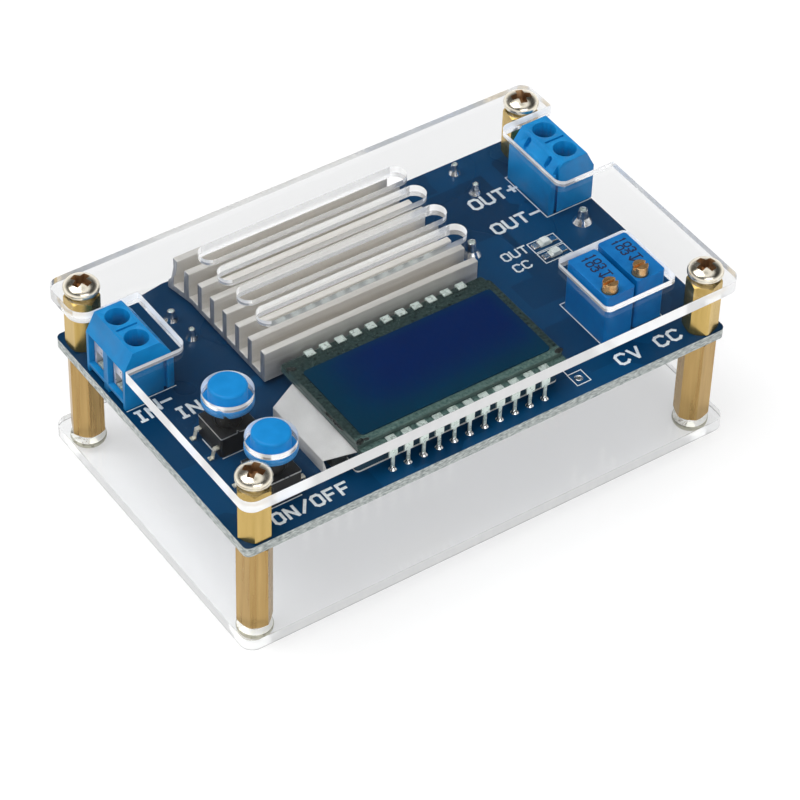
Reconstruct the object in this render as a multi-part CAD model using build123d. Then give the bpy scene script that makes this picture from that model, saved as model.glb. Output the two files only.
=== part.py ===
# Step-down converter module in an open case: two clear plates on hex standoffs, with a
# circuit board between them that carries a finned heatsink, a glass display on clip pins,
# two push buttons, two screw terminals and two trimmers.
# Millimetres. +X runs along the long side, from input to output, +Y to the back, +Z up.
# The origin is the middle of the footprint, on the surface that the lower screw heads stand on.
from build123d import *
import math
import os

os.makedirs("parts", exist_ok=True)

# Case plates, cut from clear sheet
PLATE_L = 82.0
PLATE_W = 52.0
PLATE_T = 2.0
PLATE_R = 2.0
EDGE_TO_SCREW_X = 3.6
EDGE_TO_SCREW_Y = 3.9
SCREW_X = PLATE_L / 2 - EDGE_TO_SCREW_X
SCREW_Y = PLATE_W / 2 - EDGE_TO_SCREW_Y
SCREW_HOLE_R = 1.35

# Screws and standoffs
THREAD_R = 1.2
THREAD_GAP = 0.05
HEAD_R = 2.62
HEAD_H = 1.7
HEAD_RIM = 0.45
HEAD_SHOULDER_R = 2.2
HEAD_SHOULDER_H = 1.2
HEAD_FLAT_R = 1.35
CROSS_LENGTH = 2.2
CROSS_WIDTH = 0.75
CROSS_DEPTH = 1.1
CROSS_TAPER = 12
SCREW_LENGTH = 5.0
HEX_FLATS = 4.5
LOWER_H = 15.0
UPPER_H = 8.0
STUD_LENGTH = 5.0
BORE_SPARE = 1.0
LOWER_TURNS = [43, 11, 30, 13]
UPPER_TURNS = [0, 18, 25, 32]

# Circuit board
BOARD_INSET_X = 0.8
BOARD_INSET_Y = 1.0
BOARD_L = PLATE_L - 2 * BOARD_INSET_X
BOARD_W = PLATE_W - 2 * BOARD_INSET_Y
BOARD_T = 1.6
BOARD_R = 1.0
BOARD_Y = 0.4
PIN_GAP = 0.15
PIN_TAIL = 1.8

# Heights of the stack
Z_BASE = HEAD_H
Z_LOWER = Z_BASE + PLATE_T
Z_BOARD = Z_LOWER + LOWER_H
Z_TOP = Z_BOARD + BOARD_T
Z_COVER = Z_TOP + UPPER_H
Z_FACE = Z_COVER + PLATE_T

# Cut-outs of the cover plate
SLOT_W = 3.4
SLOT_PITCH = 5.0
SLOT_COUNT = 4
SLOT_BEHIND_SINK_FRONT = 3.85
SLOT_INSIDE_SINK_LEFT = 1.4
SLOT_PAST_SINK_RIGHT = 0.25
IN_NOTCH_GAP_FRONT = 2.5
IN_NOTCH_GAP_BACK = 0.27
IN_NOTCH_GAP_SIDE = 0.7
OUT_NOTCH_GAP_FRONT = 3.5
OUT_NOTCH_GAP_BACK = 1.5
OUT_NOTCH_GAP_SIDE = 0.9
NOTCH_R = 1.5
TAB_R = 2.6
WINDOW_GAP_LEFT = 1.3
WINDOW_GAP_RIGHT = 0.3
WINDOW_GAP_FRONT = 1.8
WINDOW_GAP_BACK = 0.25
WINDOW_R = 1.0
BUTTON_HOLE_R = 3.6

# Display: two glass sheets with polarisers over a lit guide
LCD_FROM_LEFT = 20.9
LCD_FROM_RIGHT = 27.1
LCD_FROM_FRONT = 3.9
LCD_L = PLATE_L - LCD_FROM_LEFT - LCD_FROM_RIGHT
LCD_X = (LCD_FROM_LEFT - LCD_FROM_RIGHT) / 2
REAR_GLASS_W = 20.6
REAR_GLASS_T = 0.9
LCD_Y = -PLATE_W / 2 + LCD_FROM_FRONT + REAR_GLASS_W / 2
GLASS_LEDGE = 2.8
FRONT_GLASS_W = REAR_GLASS_W - GLASS_LEDGE
FRONT_GLASS_T = 0.8
FRONT_GLASS_SHIFT = 0.4
GLASS_R = 0.6
FILM_T = 0.2
FRONT_FILM_INSET = 1.3
FRONT_FILM_MARGIN = 3.1
FRONT_FILM_W = FRONT_GLASS_W - FRONT_FILM_MARGIN
FRONT_FILM_SHIFT = 0.75
REAR_FILM_MARGIN = 2.6
REAR_FILM_W = REAR_GLASS_W - REAR_FILM_MARGIN
SHEET_T = 0.2
GUIDE_INSET = 0.2
GUIDE_L = LCD_L - 2 * GUIDE_INSET
GUIDE_MARGIN = 4.7
GUIDE_W = REAR_GLASS_W - GUIDE_MARGIN
GUIDE_SHIFT = 0.7
GUIDE_T = 3.0
LAMP_L = 4.3
LAMP_TAPER = 3.5
LAMP_W_START = GUIDE_W
LAMP_W_END = LAMP_W_START - LAMP_TAPER
LAMP_H_END = 2.3
LAMP_WALL_GAP = 0.05

# Clip pins along both long edges of the display
CLIP_PITCH = 2.54
CLIP_END_SPACE = 3.6
CLIP_SHIFT = 0.5
CLIP_COUNT = int((LCD_L - 2 * CLIP_END_SPACE) / CLIP_PITCH) + 1
CLIP_W = 1.4
CLIP_T = 0.2
CLIP_JAW = 0.9
CLIP_EDGE_GAP = 0.05
SHOULDER_DROP = 1.9
LEG_W = 0.5
LEG_T = 0.3
SPARE_HOLE_STEP = 6.4
SPARE_HOLE_BACK = 0.7

# Heatsink on its pad, in the space behind the display
SINK_FROM_LEFT = 19.5
SINK_FROM_RIGHT = 26.65
SINK_FROM_BACK = 2.0
SINK_TO_CLIPS = 1.25
SINK_LEFT = -PLATE_L / 2 + SINK_FROM_LEFT
SINK_RIGHT = PLATE_L / 2 - SINK_FROM_RIGHT
SINK_FRONT = LCD_Y + REAR_GLASS_W / 2 + CLIP_EDGE_GAP + LEG_T + SINK_TO_CLIPS
SINK_BACK = PLATE_W / 2 - SINK_FROM_BACK
SINK_L = SINK_RIGHT - SINK_LEFT
SINK_W = SINK_BACK - SINK_FRONT
SINK_X = (SINK_LEFT + SINK_RIGHT) / 2
SINK_Y = (SINK_FRONT + SINK_BACK) / 2
SINK_BASE = 1.0
SINK_H = 5.2
PAD_T = 0.5
PAD_INSET = 1.0
FIN_COUNT = 8
FIN_T = 1.1
FIN_TIP_R = 0.15

# Push buttons
BUTTON_FROM_LEFT = 9.8
BUTTON_FROM_FRONT = 9.35
BUTTON_PITCH = 10.75
BUTTON_X = -PLATE_L / 2 + BUTTON_FROM_LEFT
BUTTON_FRONT_Y = -PLATE_W / 2 + BUTTON_FROM_FRONT
BUTTON_YS = {"back": BUTTON_FRONT_Y + BUTTON_PITCH, "front": BUTTON_FRONT_Y}
SWITCH_SIDE = 6.0
SWITCH_BASE_H = 3.25
SWITCH_COVER_T = 0.25
SWITCH_EDGE = 0.25
PLUNGER_R = 1.75
PLUNGER_GAP = 0.12
PLUNGER_SINK = 0.9
BUTTON_TRAVEL = 0.25
TRAVEL_SPARE = 0.2
CAP_R = 2.75
CAP_PROUD = 0.9
CAP_FLANGE_R = 3.68
CAP_FLANGE_H = 1.1
CAP_UNDER_COVER = 0.1
CAP_ROOF = 1.0
CAP_EDGE = 0.3
CAP_GAP = 0.05
WING_W = 0.7
WING_T = 0.25
WING_Y = 2.3
WING_REACH = 1.6
WING_H = 1.7

# Screw terminals, in their own frame: x runs in from the wire side, z up from the board
POLE_PITCH = 5.08
POLES = 2
HOUSE_D = 7.9
HOUSE_H = 10.0
FACE_H = 7.1
ROOF_START = 1.45
ROOF_END = 5.75
BACK_KNEE = (7.4, 7.6)
BACK_H = 6.2
ENTRY_W = 3.9
ENTRY_TOP = 7.0
SILL_H = 1.6
SILL_T = 0.85
FLOOR_H = 1.0
ENTRY_D = 6.0
DRIVER_HOLE_R = 1.75
DRIVER_X = 3.6
MARK_L = 3.3
MARK_W = 0.35
MARK_DEPTH = 0.3
DIMPLE_L = 1.9
DIMPLE_W = 0.85
DIMPLE_DEPTH = 0.45
GROOVE_X = 6.65
GROOVE_MOUTH = 0.55
GROOVE_ROOT = 0.85
GROOVE_DEPTH = 0.6
CLAMP_W = 3.7
CLAMP_TOP = 5.9
CLAMP_ROOF = 2.0
CLAMP_FLOOR = 0.4
CLAMP_WALL = 0.45
CLAMP_BACK_GAP = 0.1
CLAMP_PIN_L = 1.0
CLAMP_PIN_W = 0.8
CLAMP_PIN_HOLE_R = 0.8
LEAF_T = 0.25
LEAF_GAP = 0.1
CLAMP_HEAD_R = 1.5
CLAMP_HEAD_H = 0.9
CLAMP_SLOT_W = 0.55
CLAMP_SLOT_DEPTH = 0.5
IN_FROM_LEFT = 1.2
IN_FROM_BACK = 14.05
OUT_FROM_RIGHT = 0.6
OUT_FROM_BACK = 13.1
IN_FRONT_X = -PLATE_L / 2 + IN_FROM_LEFT
IN_Y = PLATE_W / 2 - IN_FROM_BACK
OUT_FRONT_X = PLATE_L / 2 - OUT_FROM_RIGHT
OUT_Y = PLATE_W / 2 - OUT_FROM_BACK

# Trimmers
TRIM_W = 4.9
TRIM_L = 9.5
TRIM_H = 9.8
TRIM_GAP = 0.8
TRIM_FROM_RIGHT = 13.0
TRIM_FROM_FRONT = 7.05
TRIM_STEP_BACK = 0.6
TRIM_EDGE = 0.25
TRIM_SCREW_R = 1.12
TRIM_SCREW_RISE = 1.5
TRIM_SCREW_SINK = 1.6
TRIM_SCREW_GAP = 0.05
TRIM_SCREW_FROM_SIDE = 1.45
TRIM_SCREW_FROM_END = 1.4
TRIM_SLOT_W = 0.45
TRIM_SLOT_DEPTH = 0.55
TRIM_PIN_R = 0.25
TRIM_PIN_PITCH = 2.54

# Indicator lamps beside the trimmers
LED_FROM_RIGHT = 12.5
LED_FROM_BACK = 22.8
LED_PITCH = 2.6
LED_L = 2.0
LED_W = 1.25
LED_BASE_H = 0.4
LED_LENS_L = 1.2
LED_LENS_H = 0.4

# Parts under the board, with leads soldered on the top side
LEAD_R = 0.3
LEAD_RISE = 2.3
IN_CAN_FROM_LEFT = 16.15
IN_CAN_FROM_BACK = 10.0
OUT_CAN_FROM_RIGHT = 14.45
OUT_CAN_FROM_BACK = 5.55
IN_CAN = {"x": -PLATE_L / 2 + IN_CAN_FROM_LEFT, "y": PLATE_W / 2 - IN_CAN_FROM_BACK,
          "r": 5.0, "h": 12.5, "pitch": 4.65}
OUT_CAN = {"x": PLATE_L / 2 - OUT_CAN_FROM_RIGHT, "y": PLATE_W / 2 - OUT_CAN_FROM_BACK,
           "r": 4.0, "h": 11.5, "pitch": 5.3}
CAN_GROOVE = 0.4
CAN_GROOVE_H = 1.6
CAN_EDGE = 0.5
BUNG_T = 0.6
BUNG_INSET = 0.8
COIL_FROM_RIGHT = 13.85
COIL_FROM_BACK = 20.4
COIL_X = PLATE_L / 2 - COIL_FROM_RIGHT
COIL_Y = PLATE_W / 2 - COIL_FROM_BACK
COIL_TURN = -9.1
CORE_R = 7.45
CORE_HOLE_R = 4.0
CORE_H = 7.0
WIRE_D = 1.0
WINDING_EDGE = 0.8
WINDING_SPAN = 320
COIL_LEAD_R = 0.5
COIL_LEAD_GAP = 0.03
SOLDER_R = 0.95
SOLDER_H = 1.3
COIL_SOLDER_R = 1.5
COIL_SOLDER_H = 1.7
SOLDER_TIP = 0.12
SOLDER_WAIST = (0.3, 0.4)
SOLDER_GAP = 0.02
POWER_CHIP_PITCH = 13.0
POWER_CHIP_L = 10.0
POWER_CHIP_W = 8.7
POWER_CHIP_H = 4.4
POWER_TAB_W = 1.4
POWER_TAB_T = 1.3
POWER_LEG_W = 0.9
POWER_LEG_L = 4.0
POWER_LEG_T = 0.5
POWER_LEG_PITCH = 5.08
CONTROL_L = 9.9
CONTROL_W = 3.9
CONTROL_H = 1.5
CONTROL_LEGS = 8
CONTROL_LEG_PITCH = 1.27
CONTROL_LEG_W = 0.4
CONTROL_LEG_T = 0.2
CONTROL_LEG_REACH = 1.05
CONTROL_LEG_H = 0.9

HOLE_SITES = [(-SCREW_X, -SCREW_Y), (SCREW_X, -SCREW_Y), (SCREW_X, SCREW_Y), (-SCREW_X, SCREW_Y)]


def column(radius, z_low, z_high, x=0.0, y=0.0):
    """Upright cylinder between two heights."""
    return Pos(x, y, z_low) * extrude(Circle(radius), z_high - z_low)


def block(x_span, y_span, z_span):
    """Box between two values along each axis."""
    size = [high - low for low, high in (x_span, y_span, z_span)]
    middle = [(low + high) / 2 for low, high in (x_span, y_span, z_span)]
    return Pos(*middle) * Box(*size)


def sheet(length, width, radius, thickness, x, y, z):
    """Flat sheet with rounded corners, lying at height z."""
    return Pos(x, y, z) * extrude(RectangleRounded(length, width, radius), thickness)


def round_corner(sketch, x, y, radius):
    """Sketch with the corner nearest to a point rounded."""
    corner = sketch.vertices().sort_by_distance((x, y, 0))[0]
    return fillet(corner, radius)


def gull_wing(reach, height, thickness, width):
    """Flat metal leg that leaves a package at x = 0, bends down and stands on z = 0."""
    knee = reach * 0.4
    heel = reach * 0.65
    side = Polygon((0, height), (knee + thickness / 2, height), (heel, thickness), (reach, thickness), (reach, 0),
                   (heel - thickness / 2, 0), (knee, height - thickness), (0, height - thickness), align=None)
    return extrude(Plane.XZ * side, width / 2, both=True)


def group(pieces):
    """Separate solids kept together in one sub-part."""
    return Compound(children=[piece.solid() for piece in pieces])


def save(name, shape):
    export_step(shape, f"parts/{name}.step")


# Case

def base_plate():
    plate = sheet(PLATE_L, PLATE_W, PLATE_R, PLATE_T, 0, 0, Z_BASE)
    for x, y in HOLE_SITES:
        plate -= column(SCREW_HOLE_R, Z_BASE, Z_LOWER, x, y)
    return plate


def cover_outline():
    """Cover plate with its two terminal notches, their corners rounded as cut."""
    house_w = POLES * POLE_PITCH
    edge = PLATE_L / 2
    in_x = IN_FRONT_X + HOUSE_D + IN_NOTCH_GAP_SIDE
    in_low = IN_Y - house_w / 2 - IN_NOTCH_GAP_FRONT
    in_high = IN_Y + house_w / 2 + IN_NOTCH_GAP_BACK
    out_x = OUT_FRONT_X - HOUSE_D - OUT_NOTCH_GAP_SIDE
    out_low = OUT_Y - house_w / 2 - OUT_NOTCH_GAP_FRONT
    out_high = OUT_Y + house_w / 2 + OUT_NOTCH_GAP_BACK
    outline = RectangleRounded(PLATE_L, PLATE_W, PLATE_R)
    outline -= Polygon((-edge, in_low), (in_x, in_low), (in_x, in_high), (-edge, in_high), align=None)
    outline -= Polygon((edge, out_low), (edge, out_high), (out_x, out_high), (out_x, out_low), align=None)
    outline = round_corner(outline, in_x, in_low, NOTCH_R)
    outline = round_corner(outline, -edge, in_high, TAB_R)
    outline = round_corner(outline, out_x, out_low, NOTCH_R)
    outline = round_corner(outline, out_x, out_high, NOTCH_R)
    return outline


def trimmer_window():
    """Window of the cover round both trimmers."""
    (first_x, first_y), (last_x, last_y) = trimmer_middles().values()
    left = first_x - TRIM_W / 2 - WINDOW_GAP_LEFT
    right = last_x + TRIM_W / 2 + WINDOW_GAP_RIGHT
    front = first_y - TRIM_L / 2 - WINDOW_GAP_FRONT
    back = last_y + TRIM_L / 2 + WINDOW_GAP_BACK
    return Pos((left + right) / 2, (front + back) / 2) * RectangleRounded(right - left, back - front, WINDOW_R)


def top_plate():
    outline = cover_outline()
    slot_left = SINK_LEFT + SLOT_INSIDE_SINK_LEFT
    slot_right = SINK_RIGHT + SLOT_PAST_SINK_RIGHT
    for index in range(SLOT_COUNT):
        y = SINK_FRONT + SLOT_BEHIND_SINK_FRONT + index * SLOT_PITCH
        outline -= Pos((slot_left + slot_right) / 2, y) * SlotOverall(slot_right - slot_left, SLOT_W)
    outline -= trimmer_window()
    for y in BUTTON_YS.values():
        outline -= Pos(BUTTON_X, y) * Circle(BUTTON_HOLE_R)
    for x, y in HOLE_SITES:
        outline -= Pos(x, y) * Circle(SCREW_HOLE_R)
    return Pos(0, 0, Z_COVER) * extrude(outline, PLATE_T)


def case_screw():
    """Domed cross-head screw with its head above z = 0 and its shank below."""
    with BuildPart() as screw:
        with BuildSketch(Plane.XZ):
            with BuildLine():
                Polyline((0, -SCREW_LENGTH), (THREAD_R, -SCREW_LENGTH), (THREAD_R, 0), (HEAD_R, 0), (HEAD_R, HEAD_RIM),
                         (HEAD_SHOULDER_R, HEAD_SHOULDER_H), (HEAD_FLAT_R, HEAD_H), (0, HEAD_H), close=True)
            make_face()
        revolve(axis=Axis.Z)
        with BuildSketch(Plane.XY.offset(HEAD_H)):
            Rectangle(CROSS_LENGTH, CROSS_WIDTH)
            Rectangle(CROSS_WIDTH, CROSS_LENGTH)
        extrude(amount=-CROSS_DEPTH, taper=CROSS_TAPER, mode=Mode.SUBTRACT)
    return screw.part


def hex_bar(height, turn):
    """Hexagonal bar from z = 0 up, one flat turned to face the given angle."""
    return extrude(RegularPolygon(HEX_FLATS / 2, 6, major_radius=False, rotation=turn - 30), height)


def lower_standoff(turn):
    bar = hex_bar(LOWER_H, turn)
    bar -= column(THREAD_R + THREAD_GAP, 0, SCREW_LENGTH - PLATE_T + BORE_SPARE)
    bar -= column(THREAD_R + THREAD_GAP, LOWER_H - STUD_LENGTH + BOARD_T - BORE_SPARE, LOWER_H)
    return bar


def upper_standoff(turn):
    bar = hex_bar(UPPER_H, turn)
    bar -= column(THREAD_R + THREAD_GAP, UPPER_H - SCREW_LENGTH + PLATE_T - BORE_SPARE, UPPER_H)
    return bar + column(THREAD_R, -STUD_LENGTH, 0)


def make_case():
    save("base_plate", base_plate())
    save("top_plate", top_plate())
    screw = case_screw()
    over = Rot(180, 0, 0)
    save("bottom_screws", group([Pos(x, y, Z_BASE) * over * screw for x, y in HOLE_SITES]))
    save("top_screws", group([Pos(x, y, Z_FACE) * screw for x, y in HOLE_SITES]))
    lower = [Pos(x, y, Z_LOWER) * lower_standoff(turn) for (x, y), turn in zip(HOLE_SITES, LOWER_TURNS)]
    upper = [Pos(x, y, Z_TOP) * upper_standoff(turn) for (x, y), turn in zip(HOLE_SITES, UPPER_TURNS)]
    save("lower_standoffs", group(lower))
    save("upper_standoffs", group(upper))


# Places that several parts share

def clip_sites():
    """Middles of the clip legs, front row then back row, with the side that each grips."""
    reach = REAR_GLASS_W / 2 + CLIP_EDGE_GAP + LEG_T / 2
    middle = LCD_X + CLIP_SHIFT
    xs = [middle + (index - (CLIP_COUNT - 1) / 2) * CLIP_PITCH for index in range(CLIP_COUNT)]
    return {side: [(x, LCD_Y + side * reach) for x in xs] for side in (-1, 1)}


def spare_hole_site():
    """Empty hole that ends the front row of display pins."""
    x, y = clip_sites()[-1][-1]
    return x + SPARE_HOLE_STEP, y + SPARE_HOLE_BACK


def pole_offsets():
    return [(index - (POLES - 1) / 2) * POLE_PITCH for index in range(POLES)]


def input_place():
    return Pos(IN_FRONT_X, IN_Y, Z_TOP)


def output_place():
    return Pos(OUT_FRONT_X, OUT_Y, Z_TOP) * Rot(0, 0, 180)


def trimmer_middles():
    """Middles of the two trimmer bodies, the second one set further back."""
    middle = PLATE_L / 2 - TRIM_FROM_RIGHT
    reach = (TRIM_W + TRIM_GAP) / 2
    y = -PLATE_W / 2 + TRIM_FROM_FRONT + TRIM_L / 2
    return {"cv": (middle - reach, y), "cc": (middle + reach, y + TRIM_STEP_BACK)}


def trimmer_pin_sites():
    rows = (-TRIM_PIN_PITCH, 0, TRIM_PIN_PITCH)
    return [(x, y + row) for x, y in trimmer_middles().values() for row in rows]


def can_lead_sites():
    return [(can["x"], can["y"] + side * can["pitch"] / 2) for can in (IN_CAN, OUT_CAN) for side in (-1, 1)]


def coil_lead_sites():
    """Leads that come up along the outside of the winding."""
    turn = math.radians(COIL_TURN)
    reach = CORE_R + WIRE_D + COIL_LEAD_GAP + COIL_LEAD_R
    reach_x = reach * math.cos(turn)
    reach_y = reach * math.sin(turn)
    return [(COIL_X + side * reach_x, COIL_Y + side * reach_y) for side in (-1, 1)]


def clamp_pin_sites():
    sites = [(IN_FRONT_X + DRIVER_X, IN_Y + y) for y in pole_offsets()]
    return sites + [(OUT_FRONT_X - DRIVER_X, OUT_Y + y) for y in pole_offsets()]


# Board and what is bonded to it

def circuit_board():
    outline = Pos(0, BOARD_Y) * RectangleRounded(BOARD_L, BOARD_W, BOARD_R)
    clip_hole_r = math.hypot(LEG_W, LEG_T) / 2 + PIN_GAP
    clip_holes = clip_sites()[-1] + clip_sites()[1] + [spare_hole_site()]
    drillings = [
        (SCREW_HOLE_R, HOLE_SITES),
        (clip_hole_r, clip_holes),
        (CLAMP_PIN_HOLE_R, clamp_pin_sites()),
        (TRIM_PIN_R + PIN_GAP, trimmer_pin_sites()),
        (LEAD_R + PIN_GAP, can_lead_sites()),
        (COIL_LEAD_R + PIN_GAP, coil_lead_sites()),
    ]
    for radius, sites in drillings:
        for x, y in sites:
            outline -= Pos(x, y) * Circle(radius)
    return Pos(0, 0, Z_BOARD) * extrude(outline, BOARD_T)


def thermal_pad():
    return Pos(SINK_X, SINK_Y, Z_TOP) * extrude(
        Rectangle(SINK_L - 2 * PAD_INSET, SINK_W - 2 * PAD_INSET), PAD_T)


def heatsink():
    """Extruded comb: a thin base with upright fins along X, their tips rounded by the die."""
    pitch = (SINK_W - FIN_T) / (FIN_COUNT - 1)
    comb = Pos(0, SINK_BASE / 2) * Rectangle(SINK_W, SINK_BASE)
    for index in range(FIN_COUNT):
        y = (index - (FIN_COUNT - 1) / 2) * pitch
        comb += Pos(y, SINK_H / 2) * Rectangle(FIN_T, SINK_H)
    tips = comb.vertices().filter_by_position(Axis.Y, SINK_H, SINK_H)
    comb = fillet(tips, FIN_TIP_R)
    return Pos(SINK_X, SINK_Y, Z_TOP + PAD_T) * extrude(Plane.YZ * comb, SINK_L / 2, both=True)


def make_board():
    save("circuit_board", circuit_board())
    save("thermal_pad", thermal_pad())
    save("heatsink", heatsink())


# Display

def lamp_cover():
    """White film box over the lamp end of the guide, narrower and lower away from the display."""
    start_x = LCD_X - GUIDE_L / 2 - LAMP_WALL_GAP
    end_x = start_x - LAMP_L
    full_h = SHEET_T + GUIDE_T
    plan = Polygon((end_x, -LAMP_W_END / 2), (start_x, -LAMP_W_START / 2),
                   (start_x, LAMP_W_START / 2), (end_x, LAMP_W_END / 2), align=None)
    side = Polygon((end_x, 0), (start_x, 0), (start_x, full_h), (end_x, LAMP_H_END), align=None)
    prism = extrude(plan, full_h)
    wedge = extrude(Plane.XZ * side, LAMP_W_START, both=True)
    return Pos(0, LCD_Y - GUIDE_SHIFT, Z_TOP) * (prism & wedge)


def clip_pin(side):
    """Clip that grips the ledge of the rear glass, with a shoulder and a narrow leg through the board.
    The side is -1 at the front edge and 1 at the back edge."""
    glass_low = SHEET_T + GUIDE_T + FILM_T
    glass_high = glass_low + REAR_GLASS_T
    inner = -(CLIP_EDGE_GAP + CLIP_JAW)
    jaws = Polygon(
        (LEG_T, glass_high + CLIP_T), (inner, glass_high + CLIP_T), (inner, glass_high), (0, glass_high),
        (0, glass_low), (inner, glass_low), (inner, glass_low - CLIP_T), (0, glass_low - CLIP_T),
        (0, glass_high - SHOULDER_DROP), (LEG_T, glass_high - SHOULDER_DROP), align=None)
    clip = extrude(Plane.YZ * jaws, CLIP_W / 2, both=True)
    leg_low = -(BOARD_T + PIN_TAIL)
    clip += block((-LEG_W / 2, LEG_W / 2), (0, LEG_T), (leg_low, glass_high - SHOULDER_DROP))
    clip = Pos(0, -LEG_T / 2, 0) * clip
    return clip if side > 0 else Rot(0, 0, 180) * clip


def make_display():
    z = Z_TOP
    guide_y = LCD_Y - GUIDE_SHIFT
    save("reflector_sheet", sheet(GUIDE_L, GUIDE_W, GLASS_R, SHEET_T, LCD_X, guide_y, z))
    z += SHEET_T
    save("light_guide", sheet(GUIDE_L, GUIDE_W, GLASS_R, GUIDE_T, LCD_X, guide_y, z))
    z += GUIDE_T
    save("rear_polariser", sheet(GUIDE_L, REAR_FILM_W, GLASS_R, FILM_T, LCD_X, LCD_Y, z))
    z += FILM_T
    save("rear_glass", sheet(LCD_L, REAR_GLASS_W, GLASS_R, REAR_GLASS_T, LCD_X, LCD_Y, z))
    z += REAR_GLASS_T
    save("front_glass", sheet(LCD_L, FRONT_GLASS_W, GLASS_R, FRONT_GLASS_T, LCD_X, LCD_Y - FRONT_GLASS_SHIFT, z))
    z += FRONT_GLASS_T
    film_l = LCD_L - 2 * FRONT_FILM_INSET
    save("front_polariser", sheet(film_l, FRONT_FILM_W, GLASS_R, FILM_T, LCD_X, LCD_Y - FRONT_FILM_SHIFT, z))
    save("lamp_cover", lamp_cover())
    for side, name in ((-1, "display_pins_front"), (1, "display_pins_back")):
        save(name, group([Pos(x, y, Z_TOP) * clip_pin(side) for x, y in clip_sites()[side]]))


# Push buttons

def switch_base():
    base = Pos(0, 0, SWITCH_BASE_H / 2) * Box(SWITCH_SIDE, SWITCH_SIDE, SWITCH_BASE_H)
    base = chamfer(base.edges().filter_by(Axis.Z), SWITCH_EDGE)
    sink = PLUNGER_SINK + BUTTON_TRAVEL + TRAVEL_SPARE
    return base - column(PLUNGER_R + PLUNGER_GAP, SWITCH_BASE_H - sink, SWITCH_BASE_H)


def switch_cover():
    """Thin plate over the base, with a round hole for the plunger."""
    plate = RectangleRounded(SWITCH_SIDE, SWITCH_SIDE, SWITCH_EDGE) - Circle(PLUNGER_R + PLUNGER_GAP)
    return Pos(0, 0, SWITCH_BASE_H) * extrude(plate, SWITCH_COVER_T)


def cap_top():
    """Height of the cap above the board, proud of the cover plate."""
    return UPPER_H + PLATE_T + CAP_PROUD


def plunger():
    return column(PLUNGER_R, SWITCH_BASE_H - PLUNGER_SINK, cap_top() - CAP_ROOF)


def button_cap():
    """Round cap with a flange that the cover plate keeps in."""
    flange_top = UPPER_H - CAP_UNDER_COVER
    low = flange_top - CAP_FLANGE_H
    cap = column(CAP_FLANGE_R, low, flange_top) + column(CAP_R, low, cap_top())
    rim = cap.edges().filter_by(GeomType.CIRCLE).group_by(Axis.Z)[-1]
    cap = chamfer(rim, CAP_EDGE)
    return cap - column(PLUNGER_R + CAP_GAP, low, cap_top() - CAP_ROOF)


def make_buttons():
    leg = gull_wing(WING_REACH, WING_H, WING_T, WING_W)
    legs = []
    for y in BUTTON_YS.values():
        for side_y in (-WING_Y, WING_Y):
            legs.append(Pos(BUTTON_X + SWITCH_SIDE / 2, y + side_y, Z_TOP) * leg)
            legs.append(Pos(BUTTON_X - SWITCH_SIDE / 2, y + side_y, Z_TOP) * Rot(0, 0, 180) * leg)
    places = {name: Pos(BUTTON_X, y, Z_TOP) for name, y in BUTTON_YS.items()}
    save("switch_bases", group([place * switch_base() for place in places.values()]))
    save("switch_covers", group([place * switch_cover() for place in places.values()]))
    save("switch_legs", group(legs))
    for name, place in places.items():
        save(f"plunger_{name}", place * plunger())
        save(f"button_cap_{name}", place * button_cap())


# Screw terminals

def terminal_housing():
    """Moulded housing: two wire entries in front, two driver holes above, grooves to join more blocks."""
    width = POLES * POLE_PITCH
    side = Polygon((0, 0), (0, FACE_H), (ROOF_START, HOUSE_H), (ROOF_END, HOUSE_H), BACK_KNEE,
                   (HOUSE_D, BACK_H), (HOUSE_D, 0), align=None)
    house = extrude(Plane.XZ * side, width / 2, both=True)
    for y in pole_offsets():
        across = (y - ENTRY_W / 2, y + ENTRY_W / 2)
        house -= block((0, SILL_T), across, (SILL_H, ENTRY_TOP))
        house -= block((SILL_T, ENTRY_D), across, (FLOOR_H, ENTRY_TOP))
        house -= column(DRIVER_HOLE_R, ENTRY_TOP, HOUSE_H, DRIVER_X, y)
        pin_x = (CLAMP_PIN_L + PIN_GAP) / 2
        pin_y = (CLAMP_PIN_W + PIN_GAP) / 2
        house -= block((DRIVER_X - pin_x, DRIVER_X + pin_x), (y - pin_y, y + pin_y), (0, FLOOR_H))
        house -= dimple(y)
    house -= block((DRIVER_X - MARK_L / 2, DRIVER_X + MARK_L / 2), (-MARK_W / 2, MARK_W / 2),
                   (HOUSE_H - MARK_DEPTH, HOUSE_H))
    for side_y in (-1, 1):
        house -= join_groove(side_y * width / 2, side_y)
    return house


def dimple(y):
    """Oval recess in the sloping back of the roof, one for each pole."""
    run = BACK_KNEE[0] - ROOF_END
    drop = HOUSE_H - BACK_KNEE[1]
    middle = ((ROOF_END + BACK_KNEE[0]) / 2, y, (HOUSE_H + BACK_KNEE[1]) / 2)
    slope = Plane(origin=middle, x_dir=(run, 0, -drop), z_dir=(drop, 0, run))
    return extrude(slope * SlotOverall(DIMPLE_L, DIMPLE_W), -DIMPLE_DEPTH)


def join_groove(y, side):
    """Dovetail groove down one side wall."""
    inner = y - side * GROOVE_DEPTH
    plan = Polygon((GROOVE_X - GROOVE_MOUTH / 2, y), (GROOVE_X - GROOVE_ROOT / 2, inner),
                   (GROOVE_X + GROOVE_ROOT / 2, inner), (GROOVE_X + GROOVE_MOUTH / 2, y), align=None)
    return extrude(plan, HOUSE_H)


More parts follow.
